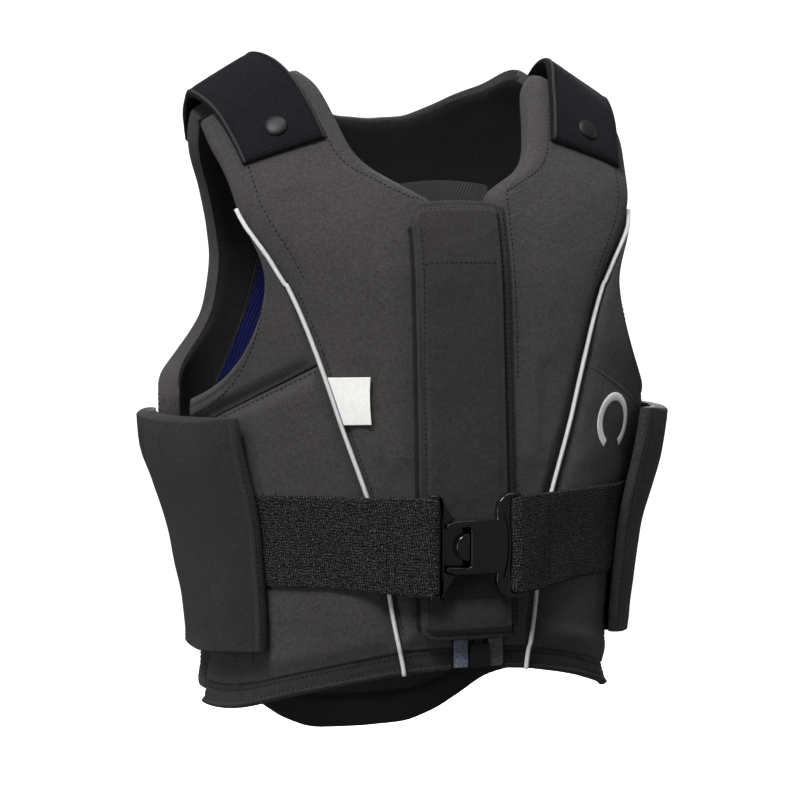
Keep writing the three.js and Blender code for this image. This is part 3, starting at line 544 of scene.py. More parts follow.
def inflate(made, pinned, cap):
    group = made.vertex_groups.new(name="pinned")
    group.add([int(i) for i in np.nonzero(pinned)[0]], 1.0, "REPLACE")
    cloth = made.modifiers.new("swell", "CLOTH")
    settings = cloth.settings
    settings.use_pressure = True
    settings.uniform_pressure_force = swelling["pressure"]
    settings.vertex_group_mass = "pinned"
    settings.effector_weights.gravity = 0
    settings.quality = 4
    settings.tension_stiffness = settings.compression_stiffness = swelling["stiffness"]
    settings.bending_stiffness = swelling["bending"]
    cloth.collision_settings.use_collision = False
    scene.frame_start, scene.frame_end = 1, swelling["steps"]
    for step in range(1, swelling["steps"] + 1):
        scene.frame_set(step)
    count = len(made.data.vertices)
    before = np.empty(count * 3, np.float32)
    made.data.vertices.foreach_get("co", before)
    moved = np.empty(count * 3, np.float32)
    swollen = made.evaluated_get(bpy.context.evaluated_depsgraph_get())
    swollen.data.vertices.foreach_get("co", moved)
    made.modifiers.remove(cloth)
    made.vertex_groups.remove(group)
    scene.frame_set(1)
    shift = (moved - before).reshape(-1, 3)
    length = np.linalg.norm(shift, axis=1, keepdims=True)
    return shift * np.minimum(1, cap / np.maximum(length, 1e-9))


# Long soft creases: each row is a ridge or dent centred at an angle and run, with its direction,
# length, width and height in millimetres
def creased(angle, run, rows):
    total = np.zeros_like(angle)
    for row in rows:
        across = (angle - math.radians(row["angle"])) * body["meanRadius"]
        down = run - row["run"]
        tilt = math.radians(row["tilt"])
        along = across * math.cos(tilt) + down * math.sin(tilt)
        beside = down * math.cos(tilt) - across * math.sin(tilt)
        beside = beside + row["bow"] * (along / row["length"]) ** 2
        total += row["height"] * np.exp(-(along / row["length"]) ** 2 - (beside / row["width"]) ** 2)
    return total


slowWaves = table("across down phase size", [
    (0.045, 0.02, 0.3, 0.5), (0.021, -0.05, 1.9, 0.45), (-0.07, 0.055, 4.1, 0.34),
    (0.1, 0.013, 2.2, 0.24), (0.03, 0.11, 5.3, 0.22), (0.16, -0.12, 0.7, 0.12), (-0.11, -0.19, 3.3, 0.08),
])


def undulation(angle, run):
    u, v = angle * body["meanRadius"], run
    return sum(wave["size"] * np.sin(wave["across"] * u + wave["down"] * v + wave["phase"])
               for wave in slowWaves)


surfaces = {}


# A padded panel: place(s, t) gives angle and run, edges the kind of its left, right, foot and top
def padPanel(name, place, edges, size, spacing, full, node, creases=(), mirror=False, flare=None,
             material=shellCloth, swell=2.4, inner=0.0, phase=0.0, flat=False, grading=(1.3, 1.45)):
    columns = gradedShares(size[0], grading[0], spacing, grading[1])
    rows = gradedShares(size[1], grading[0], spacing, grading[1])
    s, t = np.meshgrid(columns, rows)
    angle, run = place(s, t)
    base = bodyPoint(angle, run)
    sArc, tArc = arcs(base, 1), arcs(base, 0)
    distances = [sArc, sArc[:, -1:] - sArc, tArc, tArc[-1:, :] - tArc]
    drop = np.maximum.reduce([
        edgeFall(distance, kind, full, run) for distance, kind in zip(distances, edges)])
    sign = -1 if mirror else 1
    free = np.ones_like(angle) if flat else pressed(angle, run)
    for distance, kind in zip(distances, edges):
        if kind == "flush":
            free = free * smooth(distance, 2, 18)
    lift = np.zeros_like(angle) if flare is None else flare(s, t, angle, run)
    shape = creased(angle, run, creases) + undulation(sign * angle + phase, run + 40 * phase)
    away = smooth(np.minimum.reduce(distances), 2, 16)
    low = inner(s, t) if callable(inner) else inner
    outerOffset = low + lift + full - drop + shape * away * (0.15 + 0.85 * free)
    innerLift = sum(
        (1 - smooth(distance, 0, 6)) * 1.8 for distance, kind in zip(distances, edges) if "bound" in kind)
    normal = bodyNormal(angle, run)
    outerPoints = base + normal * outerOffset[..., None]
    innerPoints = base + normal * (low + lift + innerLift)[..., None]
    points = np.concatenate([outerPoints.reshape(-1, 3), innerPoints.reshape(-1, 3)])
    high, wide = angle.shape
    faces = slabFaces(high, wide)
    if mirror:
        points = points * (-1, 1, 1)
        faces = [face[::-1] for face in faces]
    uv = np.stack([sign * angle * body["meanRadius"] * mm, run * mm], axis=-1).reshape(-1, 2)
    uv = np.concatenate([uv, uv])
    made = makePiece(name, points, faces, material, uv, node=node)
    flushRows = [row for row, kind in ((0, edges[2]), (high - 1, edges[3])) if kind == "flush"]
    if flushRows:
        sharp = made.data.attributes.new("crease_edge", "FLOAT", "EDGE")
        for edge in made.data.edges:
            if all(vertex % (high * wide) // wide in flushRows for vertex in edge.vertices):
                sharp.data[edge.index].value = 1.0
    if swell:
        rim = np.minimum.reduce(distances) < (9 if flat else 2.5)
        pinned = np.concatenate([rim.ravel(), np.ones(rim.size, bool)])
        shift = inflate(made, pinned, swell * mm)
        mask = np.concatenate([free.ravel(), np.zeros(free.size)])
        values = np.asarray(points) * mm + shift * mask[:, None]
        made.data.vertices.foreach_set("co", values.astype(np.float32).ravel())
        made.data.update()
    subdivide(made)
    surfaces[name] = made
    print("panel", name, len(made.data.polygons))
    return made


def subdivide(made):
    select(made)
    smoothing = made.modifiers.new("smooth", "SUBSURF")
    smoothing.levels = smoothing.render_levels = 1
    bpy.ops.object.modifier_apply(modifier=smoothing.name)


def down(share):
    return share * body["length"]


# Outlines of the panels, as in the solid model
frontNeckline = table("down across", [
    (-0.022, 0.6), (0.04, 0.55), (0.085, 0.485), (0.14, 0.437), (0.167, 0.405), (0.186, 0.345),
    (0.201, 0.25), (0.212, 0.17), (0.22, 0.1),
])
princessSeam = table("down across", [
    (0.19, 0.9), (0.212, 0.867), (0.2415, 0.8), (0.27, 0.75), (0.297, 0.71), (0.352, 0.645),
    (0.4025, 0.59), (0.487, 0.51), (0.593, 0.435), (0.66, 0.4), (0.729, 0.38), (0.775, 0.373),
    (0.81, 0.345), (0.86, 0.312),
])
frontArmhole = table("down across", [
    (-0.022, 0.975), (0.09, 0.954), (0.142, 0.925), (0.19, 0.9),
])
underarmCurve = table("along fall", [
    (0, 0), (0.07, 0.2), (0.18, 0.39), (0.34, 0.6), (0.53, 0.8), (0.7, 0.91), (0.87, 0.97), (1, 1),
])
frontHem = table("across down", [
    (0, 0.841), (0.31, 0.847), (0.56, 0.86), (0.8, 0.882), (1, 0.915),
])
backTop = table("across down", [
    (0, 0.114), (0.15, 0.108), (0.27, 0.09), (0.385, 0.062), (0.49, 0.03), (0.565, -0.02), (0.6, -0.03),
    (1, -0.03),
])
backArmhole = table("down across", [
    (-0.064, 0.95), (0.036, 0.93), (0.09, 0.895), (0.167, 0.797), (0.229, 0.734), (0.273, 0.713),
    (0.341, 0.743), (0.379, 0.81), (0.41, 0.9), (0.434, 0.97), (0.456, 0.999),
])
backTail = table("across down", [
    (0, 0.996), (0.24, 0.993), (0.42, 0.976), (0.56, 0.95), (0.7, 0.92), (0.85, 0.905), (1, 0.9),
])
liningEdge = table("down across", [
    (0.25, 0.5), (0.33, 0.565), (0.377, 0.62), (0.43, 0.7), (0.5, 0.8), (0.62, 0.84), (0.88, 0.8),
])
padFrontEdge = table("down across", [
    (0.47, 0.835), (0.5, 0.825), (0.585, 0.82), (0.69, 0.835), (0.84, 0.86),
])
seamDrawn = eased(outline(princessSeam), 20)
hemRun = lowerEdge(frontHem)
zipShift, zipHalfWidth, layGap, elasticThick = 8, 17, 0.7, 2.4
hemBandHeight, hemBandGap, hemTuck = 15, 0.2, 1.4
onPanels = body["foam"] + layGap
seamTop, underarm = down(0.19), down(0.462)
seamMiss = float(outline(frontArmhole)(seamTop) - seamDrawn(seamTop))


# The seam of the piping, eased and led to the armhole's edge
def seamAngle(run):
    return seamDrawn(run) + seamMiss * (1 - smooth(run, seamTop, seamTop + 34))


def panelHem(angle):
    return hemRun(angle) - hemBandHeight - hemBandGap


# The wearer's sides: the right one is mirrored and reaches a little further back at the hem
sidePlans = {
    "left": {"mirror": False, "zipEdge": zipHalfWidth + layGap + zipShift, "yoke": "flush", "phase": 2.0,
             "reach": 84, "hemFlare": 9, "panelFlare": 4.5},
    "right": {"mirror": True, "zipEdge": zipHalfWidth + layGap - zipShift, "yoke": "seam", "phase": 0.0,
              "reach": 91, "hemFlare": 5, "panelFlare": 3},
}


def sideAngle(run, reach=84):
    share = np.clip((run - underarm) / (down(0.841) - underarm), 0, 1)
    return np.radians(mix(77, reach, share))


def yokeSeam(s):
    return down(mix(0.412, 0.51, s))


# Front centre panels
def frontCentrePlace(zipEdgeX):
    neck, arm = outline(frontNeckline), outline(frontArmhole)
    foot, top, neckFoot = down(0.915), down(0.045), down(0.22)

    def angleOn(s, run):
        edge = angleAtX(zipEdgeX, run)
        inside = np.where(run > neckFoot, edge, np.maximum(edge, neck(run)))
        outside = np.where(run < seamTop, arm(run), seamAngle(run))
        return mix(inside, outside, s)

    def place(s, t):
        level = mix(foot, top, t)
        fade = np.clip(1 - t / 0.35, 0, None)
        run = level + (panelHem(angleOn(s, level)) - foot) * fade
        return angleOn(s, run), run

    return place


frontCreases = table("angle run tilt length width height bow", [
    (34, 150, 62, 40, 6, 0.7, 5), (14, 168, 78, 45, 8, -0.8, -4), (22, 380, -3, 30, 4, -0.9, 1),
    (30, 262, 75, 55, 9, -1.0, 6), (20, 205, 60, 60, 12, 0.9, -8), (40, 100, 20, 50, 10, -0.8, 5),
    (24, 355, 5, 26, 6, -0.9, 2), (30, 268, 0, 60, 7, 1.1, 0),
])
for side, plan in sidePlans.items():
    padPanel(f"front_centre_cloth_{side}", frontCentrePlace(plan["zipEdge"]),
             ("plain", ("bound", "seam", seamTop), "foot", "bound"), (105, 390), 5, body["foam"],
             f"front_centre_{side}", frontCreases, plan["mirror"], phase=plan["phase"])


# Panels under the armholes
def armholePlace(s, t):
    fall = curveThrough(underarmCurve, "along", "fall")
    top = mix(seamTop, underarm, fall(s))
    run = mix(yokeSeam(s), top, t)
    return mix(seamAngle(run), sideAngle(run), s), run


underarmCreases = [
    {"angle": 60, "run": 215, "tilt": -20, "length": 22, "width": 4, "height": 1.2, "bow": 3},
    {"angle": 67, "run": 222, "tilt": -35, "length": 18, "width": 3.5, "height": -1.1, "bow": 2},
]
for side, plan in sidePlans.items():
    padPanel(f"front_armhole_cloth_{side}", armholePlace, ("seam", "plain", plan["yoke"], "bound"),
             (75, 60), 4, body["foam"], f"front_armhole_{side}", underarmCreases, plan["mirror"],
             flare=lambda s, t, angle, run: 5 * t * np.sin(pi * s), swell=1.6)


# Lower side fronts
def frontSidePlace(s, t, reach=84):
    foot = panelHem(mix(seamAngle(down(0.8)), sideAngle(down(0.9), reach), s))
    run = mix(foot, yokeSeam(s), t)
    return mix(seamAngle(run), sideAngle(run, reach), s), run


sideCreases = table("angle run tilt length width height bow", [
    (50, 272, 0, 45, 8, 1.3, 3), (44, 250, 35, 40, 9, -1.0, 6), (50, 356, 4, 45, 6, 1.0, 2),
    (50, 372, -6, 40, 6, -0.9, 2),
])
for side, plan in sidePlans.items():
    padPanel(f"front_side_cloth_{side}", lambda s, t: frontSidePlace(s, t, plan["reach"]),
             ("seam", "plain", "foot", plan["yoke"]), (110, 190), 5, body["foam"], f"front_side_{side}",
             sideCreases, plan["mirror"], phase=1.0,
             flare=lambda s, t, angle, run: plan["panelFlare"] * s ** 3 * (1 - smooth(t, 0, 0.13)))


# Back panel with its drop tail
def backPlace(s, t):
    arm = outline(backArmhole)
    tailRun, topRun = lowerEdge(backTail), lowerEdge(backTop)

    def angleOn(run):
        wide = np.where(run < underarm - 2, arm(run), math.radians(85))
        return s * wide

    foot, top = down(0.9), down(-0.03)
    level = mix(foot, top, t)
    fromBack = angleOn(level)
    for _ in range(3):
        low = tailRun(fromBack)
        high = topRun(np.minimum(np.abs(fromBack), angleAcross(0.95)))
        run = level + (low - foot) * np.clip(1 - t / 0.45, 0, None) ** 1.5
        run = run + (high - top) * smooth(t, 0.72, 1)
        fromBack = angleOn(run)
    return pi + fromBack, run


backCreases = table("angle run tilt length width height bow", [
    (180, 300, 0, 90, 16, -1.2, 8), (165, 335, 4, 60, 9, 0.9, 5), (198, 345, -6, 60, 9, 0.9, 5),
    (150, 150, 40, 60, 12, -0.9, 6), (210, 150, -40, 60, 12, -0.9, 6),
])


def backWhole(s, t):
    return backPlace(2 * s - 1, t)


backCloth = padPanel("back_cloth", backWhole, ("bound",) * 4, (460, 440), 6, body["foam"], "back_panel",
                     backCreases)
# The inner faces take the facing cloth, whose extra darkness is painted shade inside the back
backCloth.data.materials.append(facingClothAndShade)
for polygon in backCloth.data.polygons:
    centre = polygon.center
    outward = polygon.normal.x * centre.x + polygon.normal.y * (centre.y - 0.004)
    if outward < -0.2 * math.hypot(centre.x, centre.y):
        polygon.material_index = 1


# Side pads: flat stuffed flaps over the strap's ends, sewn to the back
sidePad = {"top": 228, "bottom": 384, "drop": 8, "backAngle": 110, "thick": 12.5, "sunk": 2, "lean": 4}


def padPlace(s, t):
    foot = sidePad["bottom"] + sidePad["drop"] * np.minimum(1, 2 * s)
    run = mix(foot, sidePad["top"], t)
    return mix(outline(padFrontEdge)(run), math.radians(sidePad["backAngle"]), s), run


def padSeat(s, t):
    overStrap = onPanels + elasticThick + layGap
    return mix(overStrap, onPanels - sidePad["sunk"], smooth(s, 0.3, 0.8)) + sidePad["lean"] * t ** 2


padCreases = table("angle run tilt length width height bow", [
    (75, 262, 8, 26, 8, 0.6, 3), (92, 352, -6, 34, 9, -0.7, -4), (97, 248, 75, 17, 3.4, -3.0, 3),
    (101, 247, 60, 18, 4, 2.6, 2), (104, 251, 50, 16, 3.4, -2.6, 1), (92, 244, 86, 11, 2.6, -1.8, 1),
    (88, 300, 85, 60, 14, 0.8, 3),
])
for side, plan in sidePlans.items():
    padPanel(f"side_pad_cloth_{side}", padPlace, ("wall", "seam", "boxed", "boxed"), (95, 160), 4.5,
             sidePad["thick"], f"side_pad_{side}", padCreases, plan["mirror"], inner=padSeat, flat=True,
             swell=1.8, phase=3.0, grading=(0.8, 1.14), material=shadedPadCloth)
print("panels done")


# A thin slab on the body: place(s, t) gives angle and run, low and high its two faces off the body
def stripPiece(name, place, size, spacing, low, high, material, node, mirror=False,
               sides=(0.6, 0.6), growth=1.45, binding=None):
    columns = gradedShares(size[0], sides[0], spacing, growth)
    rows = gradedShares(size[1], sides[1], spacing, growth)
    s, t = np.meshgrid(columns, rows)
    angle, run = place(s, t)
    base, normal = bodyPoint(angle, run), bodyNormal(angle, run)
    heights = [face(s, t) if callable(face) else np.full(s.shape, float(face)) for face in (high, low)]
    points = np.concatenate([(base + normal * height[..., None]).reshape(-1, 3) for height in heights])
    faces = slabFaces(*s.shape)
    if mirror:
        points = points * (-1, 1, 1)
        faces = [face[::-1] for face in faces]
    across = arcs(base, 1) * mm
    uv = np.stack([across, run * mm], axis=-1).reshape(-1, 2)
    made = makePiece(name, points, faces, material, np.concatenate([uv, uv]), node=node)
    if binding:
        made.data.materials.append(binding)
        for polygon in made.data.polygons:
            columnsOf = [vertex % s.size % s.shape[1] for vertex in polygon.vertices]
            fromEdge = [min(column, s.shape[1] - 1 - column) for column in columnsOf]
            if min(fromEdge) == 1 and max(fromEdge) == 2 and max(polygon.vertices) < s.size:
                polygon.material_index = 1
    subdivide(made)
    surfaces[name] = made
    return made


def frontPlace(fromX, toX, top, bottom):
    def place(s, t):
        run = mix(bottom, top, t)
        return angleAtX(mix(fromX, toX, s), run), run
    return place


# Placket: a padded flap with a flat sewn border, and the strip that it is sewn down by
placket = {
    "free": -32, "fold": 27, "sewn": 34, "top": 106, "bottom": 377, "corner": 9, "seat": 18.9, "thick": 5.5,
}


def placketPlace(s, t):
    width = placket["fold"] - placket["free"]
    inset = np.maximum(0, placket["corner"] - s * width)
    corner = placket["corner"] - np.sqrt(np.maximum(0, placket["corner"] ** 2 - inset ** 2))
    run = mix(placket["bottom"] - corner, placket["top"] + corner, t)
    return angleAtX(placket["free"] + s * width, run), run


placketCreases = table("angle run tilt length width height bow", [
    (0, 132, 0, 60, 3, -0.35, 0), (4, 352, 4, 50, 4, -0.5, 1), (-6, 240, 86, 90, 7, 0.35, 2),
    (8, 200, 92, 60, 8, -0.3, -3),
])
# The flap and its strip take the darker copy of the nylon: painted shade
padPanel("placket_cloth", placketPlace, ("flap", "fold", "flap", "flap"), (59, 271), 4, placket["thick"],
         "placket", placketCreases, inner=lambda s, t: placket["seat"] - 1.2 * smooth(s, 0.85, 1),
         flat=True, swell=0.8, grading=(0.8, 1.14), material=shadedFlapCloth)
stripPiece("placket_base_cloth",
           frontPlace(placket["fold"] + 0.2, placket["sewn"], placket["top"] + 1, placket["bottom"] - 1),
           (7, 270), 5, onPanels, lambda s, t: 18.6 - 1.1 * smooth(s, 0.75, 1) - 0.25 * ridge(s, 0.5, 0.12),
           shadedFlapCloth, "placket")
stripPiece("hook_tape_cloth", frontPlace(-34.5, -14.5, 115, 368), (20, 253), 5, onPanels, 18.2,
           facingClothAndShade, "placket_hook_tape")

# Zip: tapes, coil teeth, guard behind, and at the hem the box between its stiffened tape ends
centreHem = float(hemRun(0.0))
zipFoot = centreHem - 1
for side, start, end in (("left", 3.6, 17.2), ("right", -17.2, -3.6)):
    stripPiece(f"zip_tape_cloth_{side}", frontPlace(zipShift + start, zipShift + end, 110, zipFoot),
               (14, 280), 5, 9.5, 10.7, facingClothAndShade, f"zip_tape_{side}")
for side, start, end in (("left", 7.2, 17), ("right", -17, -7.2)):
    stripPiece(f"zip_film_end_{side}",
               frontPlace(zipShift + start, zipShift + end, zipFoot - 21, zipFoot), (10, 21), 2, 11.1,
               lambda s, t: 11.75 + 0.12 * np.sin(s * 9) * np.sin(t * 14), filmPlastic,
               f"zip_film_{side}")
# The left film end takes the darker copy of the film: painted shade
surfaces["zip_film_end_left"].data.materials[0] = filmShaded
stripPiece("zip_guard_cloth", frontPlace(-34, 34, 94, centreHem - hemBandHeight), (68, 288), 6, -3.4, -1.6,
           greyMesh, "zip_guard")


# Waist strap and its buckle: the socket on the wearer's left, the plug on the right
strap = {
    "height": 62, "thick": elasticThick, "centre": 313, "rise": 6, "seat": onPanels, "anchor": 68,
    "leaves": 36, "barDepth": 138.9, "loop": 3.9, "return": 27, "bars": {"left": 29, "right": 31.3},
}
buckle = {
    "back": 132.9, "height": 313, "thick": 12, "mouth": -23, "reach": 19.8,
    "barRadius": 2.2, "barHalf": 32.5,
}


# A plate in the buckle's plane: corners in x and z, two depths in front of the buckle's back
def plate(name, corners, near, far, bevel=0.0):
    bpy.ops.object.select_all(action="DESELECT")
    bpy.ops.mesh.primitive_circle_add(vertices=len(corners), radius=10 * mm, fill_type="NGON")
    made = bpy.context.active_object
    made.name = name
    for vertex, (x, z) in zip(made.data.vertices, corners):
        vertex.co = (x * mm, -(buckle["back"] + near) * mm, (z - buckle["height"]) * mm)
    bpy.ops.object.mode_set(mode="EDIT")
    bpy.ops.mesh.select_all(action="SELECT")
    bpy.ops.mesh.extrude_region_move(TRANSFORM_OT_translate={"value": (0, -(far - near) * mm, 0)})
    bpy.ops.mesh.select_all(action="SELECT")
    bpy.ops.mesh.normals_make_consistent(inside=False)
    bpy.ops.object.mode_set(mode="OBJECT")
    if bevel:
        rounded(made, bevel)
    return made


def rounded(made, width):
    select(made)
    edge = made.modifiers.new("edge", "BEVEL")
    edge.width = width * mm
    edge.segments = 3
    edge.limit_method = "ANGLE"
    edge.angle_limit = math.radians(35)
    edge.harden_normals = False
    bpy.ops.object.modifier_apply(modifier=edge.name)


def combine(made, other, operation):
    select(made)
    cut = made.modifiers.new("cut", "BOOLEAN")
    cut.operation = operation
    cut.solver = "EXACT"
    cut.object = other
    bpy.ops.object.modifier_apply(modifier=cut.name)
    bpy.data.objects.remove(other, do_unlink=True)


def mirroredCorners(upper):
    return upper + [(x, -z) for x, z in reversed(upper)]


def arcCorners(centre, radius, start, end, steps):
    turns = [math.radians(mix(start, end, k / steps)) for k in range(steps + 1)]
    return [(centre[0] + radius * math.cos(a), centre[1] + radius * math.sin(a)) for a in turns]


def roundBar(x):
    bpy.ops.object.select_all(action="DESELECT")
    bpy.ops.mesh.primitive_cylinder_add(
        vertices=28, radius=buckle["barRadius"] * mm, depth=2 * buckle["barHalf"] * mm,
        location=(x * mm, -strap["barDepth"] * mm, -buckle["height"] * mm))
    bar = bpy.context.active_object
    bpy.ops.object.transform_apply(location=True, rotation=True, scale=True)
    return bar


def finishRigid(made, name, material, node, smoothAngle=32):
    made.name = made.data.name = name
    made.data.materials.clear()
    made.data.materials.append(material)
    select(made)
    bpy.ops.object.shade_smooth_by_angle(angle=math.radians(smoothAngle))
    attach(made, "root")
    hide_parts(node)


def buildSocket():
    end = buckle["reach"]
    body = plate("socket", mirroredCorners([
        (buckle["mouth"], 15.3), (-17.5, 17.2), (-14, 17.5),
        *arcCorners((end - 5.3, 14), 3.5, 90, 20, 4), (end - 0.6, 8), (end, 2)]), 0, buckle["thick"])
    cavity = plate("cavity", mirroredCorners([(-24, 14.2), (end - 7.8, 14.2)]), 2.6, 9.4)
    combine(body, cavity, "DIFFERENCE")
    window = plate("window", mirroredCorners([
        (-24, 12.7), (-9, 13.4), *arcCorners((-8, 11.4), 2, 90, 0, 3)]), 8.4, 13)
    combine(body, window, "DIFFERENCE")
    rounded(body, 0.5)
    ears = plate("ears", mirroredCorners([
        (end - 7.8, 16), (end - 5.8, 18.2), (end - 6.5, 21), (end - 6.3, 24.5), (end - 5, 28.5),
        (end - 2.2, 32), (end + 1.2, 34), (end + 4.2, 34.5), (end + 11.4, 34.5), (end + 11.4, 31.5),
        (end + 3.4, 31.5)]), 3.5, 8.5, 0.9)
    combine(body, ears, "UNION")
    outerArc = mirroredCorners([(end - 0.3, 21.5), (end + 2.1, 12.2), (end + 3, 4)])
    innerArc = mirroredCorners([(end - 1.5, 21), (end + 0.8, 12), (end + 1.7, 4)])
    rim = plate("rim", outerArc[::-1] + innerArc, 8, 9.9)
    combine(body, rim, "UNION")
    combine(body, roundBar(strap["bars"]["left"]), "UNION")
    finishRigid(body, "buckle_socket_moulded", buckleNylon, "buckle_socket")


def buildPlug():
    tongue = plate("tongue", mirroredCorners([(-24.9, 13.6), (2.4, 13.6)]), 3.1, 6.4, 0.4)
    button = plate("button", arcCorners((-6.6, 0), 9.5, 90, 270, 20), 5.4, 10.9, bevel=1.1)
    combine(tongue, button, "UNION")
    flange = plate("flange", mirroredCorners([
        (-33.5, 32.3), (-33.5, 34.5), (-27, 34.5), (-15.6, 18.3), (-17.4, 18.0), (-23.8, 16.1),
        (-23.8, 14)]), 3.5, 8.5)
    slot = plate("slot", mirroredCorners([(-36, 31.6), (-25.3, 31.6)]), 2, 10)
    combine(flange, slot, "DIFFERENCE")
    rounded(flange, 0.65)
    combine(tongue, flange, "UNION")
    combine(tongue, roundBar(-strap["bars"]["right"]), "UNION")
    finishRigid(tongue, "buckle_plug_moulded", buckleNylon, "buckle_plug")


buildSocket()
buildPlug()
print("buckle done")


def facedOutwards(made):
    mesh = bmesh.new()
    mesh.from_mesh(made.data)
    bmesh.ops.recalc_face_normals(mesh, faces=mesh.faces)
    mesh.to_mesh(made.data)
    mesh.free()


# The elastic runs on the panels, then straight to its bar, round it and back behind itself
def waistStrap(side):
    barX = strap["bars"][side]
    rows = gradedShares(strap["height"], 0.5, 5.5)
    half = strap["thick"] / 2
    lines = []
    for t in rows:
        level = strap["centre"] + strap["height"] * (0.5 - t)
        panelShares = np.linspace(1, 0, 16)
        run = level - strap["rise"] * (0.5 + 0.5 * panelShares)
        angles = np.radians(mix(strap["leaves"], strap["anchor"], panelShares))
        onPanel = offBody(angles, run, strap["seat"] + half)
        front = np.array([barX + 2, -(strap["barDepth"] + strap["loop"]), -level])
        shares = np.linspace(0, 1, 18)[1:, None]
        free = onPanel[-1] + (front - onPanel[-1]) * shares
        turn = np.radians(np.linspace(90, 270, 13))
        fold = np.stack([
            barX + strap["loop"] * np.cos(turn), -(strap["barDepth"] + strap["loop"] * np.sin(turn)),
            np.full(13, -level)], axis=-1)
        direction = (onPanel[-1] - front) / np.linalg.norm(onPanel[-1] - front)
        back = []
        for step in np.linspace(2, strap["return"], 10):
            gap = mix(2 * strap["loop"], strap["thick"] + 0.15, float(smooth(step, 0, 13)))
            back.append(front + direction * step + np.array([0, gap, 0]))
        lines.append(np.concatenate([onPanel, free, fold, np.array(back)]))
    middle = np.array(lines)
    along = np.gradient(middle, axis=1)
    normal = np.cross(along, np.gradient(middle, axis=0))
    normal /= np.linalg.norm(normal, axis=-1, keepdims=True)
    lengths = arcs(middle, 1)
    foldAt = lengths[:, 33:34]
    edge = np.abs(rows - 0.5)[:, None] * 2
    nearFold = 1 - smooth(np.abs(lengths - foldAt), 2, 10)
    turnShare = np.linspace(0, 1, 13)
    halves = np.concatenate([np.full(16, 31.2), mix(31.2, 32.6, smooth(np.linspace(0, 1, 17), 0.3, 0.9)),
                             mix(32.2, 30.4, smooth(turnShare, 0, 0.45)), np.full(10, 30.4)])
    centreLine = middle.mean(axis=0)[:, 2]
    offPanel = smooth(np.arange(len(centreLine)), 15, 24)
    middle[..., 2] = mix(middle[..., 2], centreLine + (rows[:, None] - 0.5) * 2 * halves, offPanel)
    ripple = 0.22 * np.sin(lengths * 0.11 + rows[:, None] * 5)
    ripple = ripple + 0.12 * np.sin(lengths * 0.31 - rows[:, None] * 9)
    ripple = ripple * smooth(lengths, 0, 20) * (1 - nearFold)
    slim = half * (1 - 0.5 * smooth(edge, 0.955, 1))
    outer = middle + normal * (slim + ripple)[..., None]
    inner = middle + normal * (ripple - slim)[..., None]
    points = np.concatenate([outer.reshape(-1, 3), inner.reshape(-1, 3)])
    faces = slabFaces(*middle.shape[:2])
    if sidePlans[side]["mirror"]:
        points = points * (-1, 1, 1)
    else:
        faces = [face[::-1] for face in faces]
    heights = np.broadcast_to((rows * strap["height"])[:, None], lengths.shape)
    uv = (np.stack([lengths, heights], axis=-1) * mm).reshape(-1, 2)
    made = makePiece(f"waist_strap_elastic_{side}", points, faces, elasticCloth,
                     np.concatenate([uv, uv]), node=f"waist_strap_{side}")
    facedOutwards(made)
    subdivide(made)
    surfaces[made.name] = made
    print("strap", side)


for side in sidePlans:
    waistStrap(side)


# Shoulder straps: thick loop pile with bound edges, standing a little off the shoulder's top
shoulderEdges = table("run inner outer", [
    (-1, 0.51, 0.85), (-0.6, 0.56, 0.89), (0, 0.63, 0.94), (0.6, 0.64, 0.915), (1, 0.62, 0.88),
])
shoulder = {"front": 72, "back": 66, "thick": 5, "arch": 2.5, "seat": 15.9}
frontLine = body["frontTurn"] - body["turn"]
backLine = body["backTurn"] - body["turn"]
strapInner = curveThrough(shoulderEdges, "run", "inner")
strapOuter = curveThrough(shoulderEdges, "run", "outer")


def shoulderPlace(s, t):
    share = 2 * t - 1
    across = mix(strapInner(share), strapOuter(share), s)
    run = np.where(share < 0, frontLine - share * (shoulder["front"] - frontLine),
                   backLine + share * shoulder["back"])
    angle = angleAcross(across)
    return np.where(share < 0, angle, pi - angle), run


def shoulderSeat(s, t):
    share = 2 * t - 1
    return shoulder["seat"] + shoulder["arch"] * (1 - share ** 2)


def shoulderTop(s, t):
    width = np.minimum(s, 1 - s) * 46
    ends = np.minimum(t, 1 - t) * 150
    binding = 0.9 * ridge(width, 1.3, 0.9)
    sunk = -0.5 * ridge(width, 3.4, 0.8) - 0.45 * ridge(ends, 4, 0.9)
    roundOff = -2.2 * (1 - smooth(np.minimum(width, ends), 0, 2))
    sway = 0.35 * np.sin(t * 23 + s * 3) * smooth(ends, 4, 20)
    return shoulderSeat(s, t) + shoulder["thick"] + binding + sunk + roundOff + sway


for side, plan in sidePlans.items():
    made = stripPiece(f"shoulder_strap_loop_{side}", shoulderPlace, (46, 150), 3.6, shoulderSeat,
                      shoulderTop, loopCloth, f"shoulder_strap_{side}", plan["mirror"],
                      sides=(0.75, 1.0), binding=shadedFlapCloth)


# Press stud cap: a low lacquered dome, each step inwards and up
stud = {"radius": 7.6, "rim": 0.6, "fromEnd": 6.5, "lift": 0.4}
domeSteps = [(0.35, 0.4), (0.6, 0.4), (1.0, 0.42), (1.4, 0.32), (1.7, 0.2), (1.2, 0.06)]


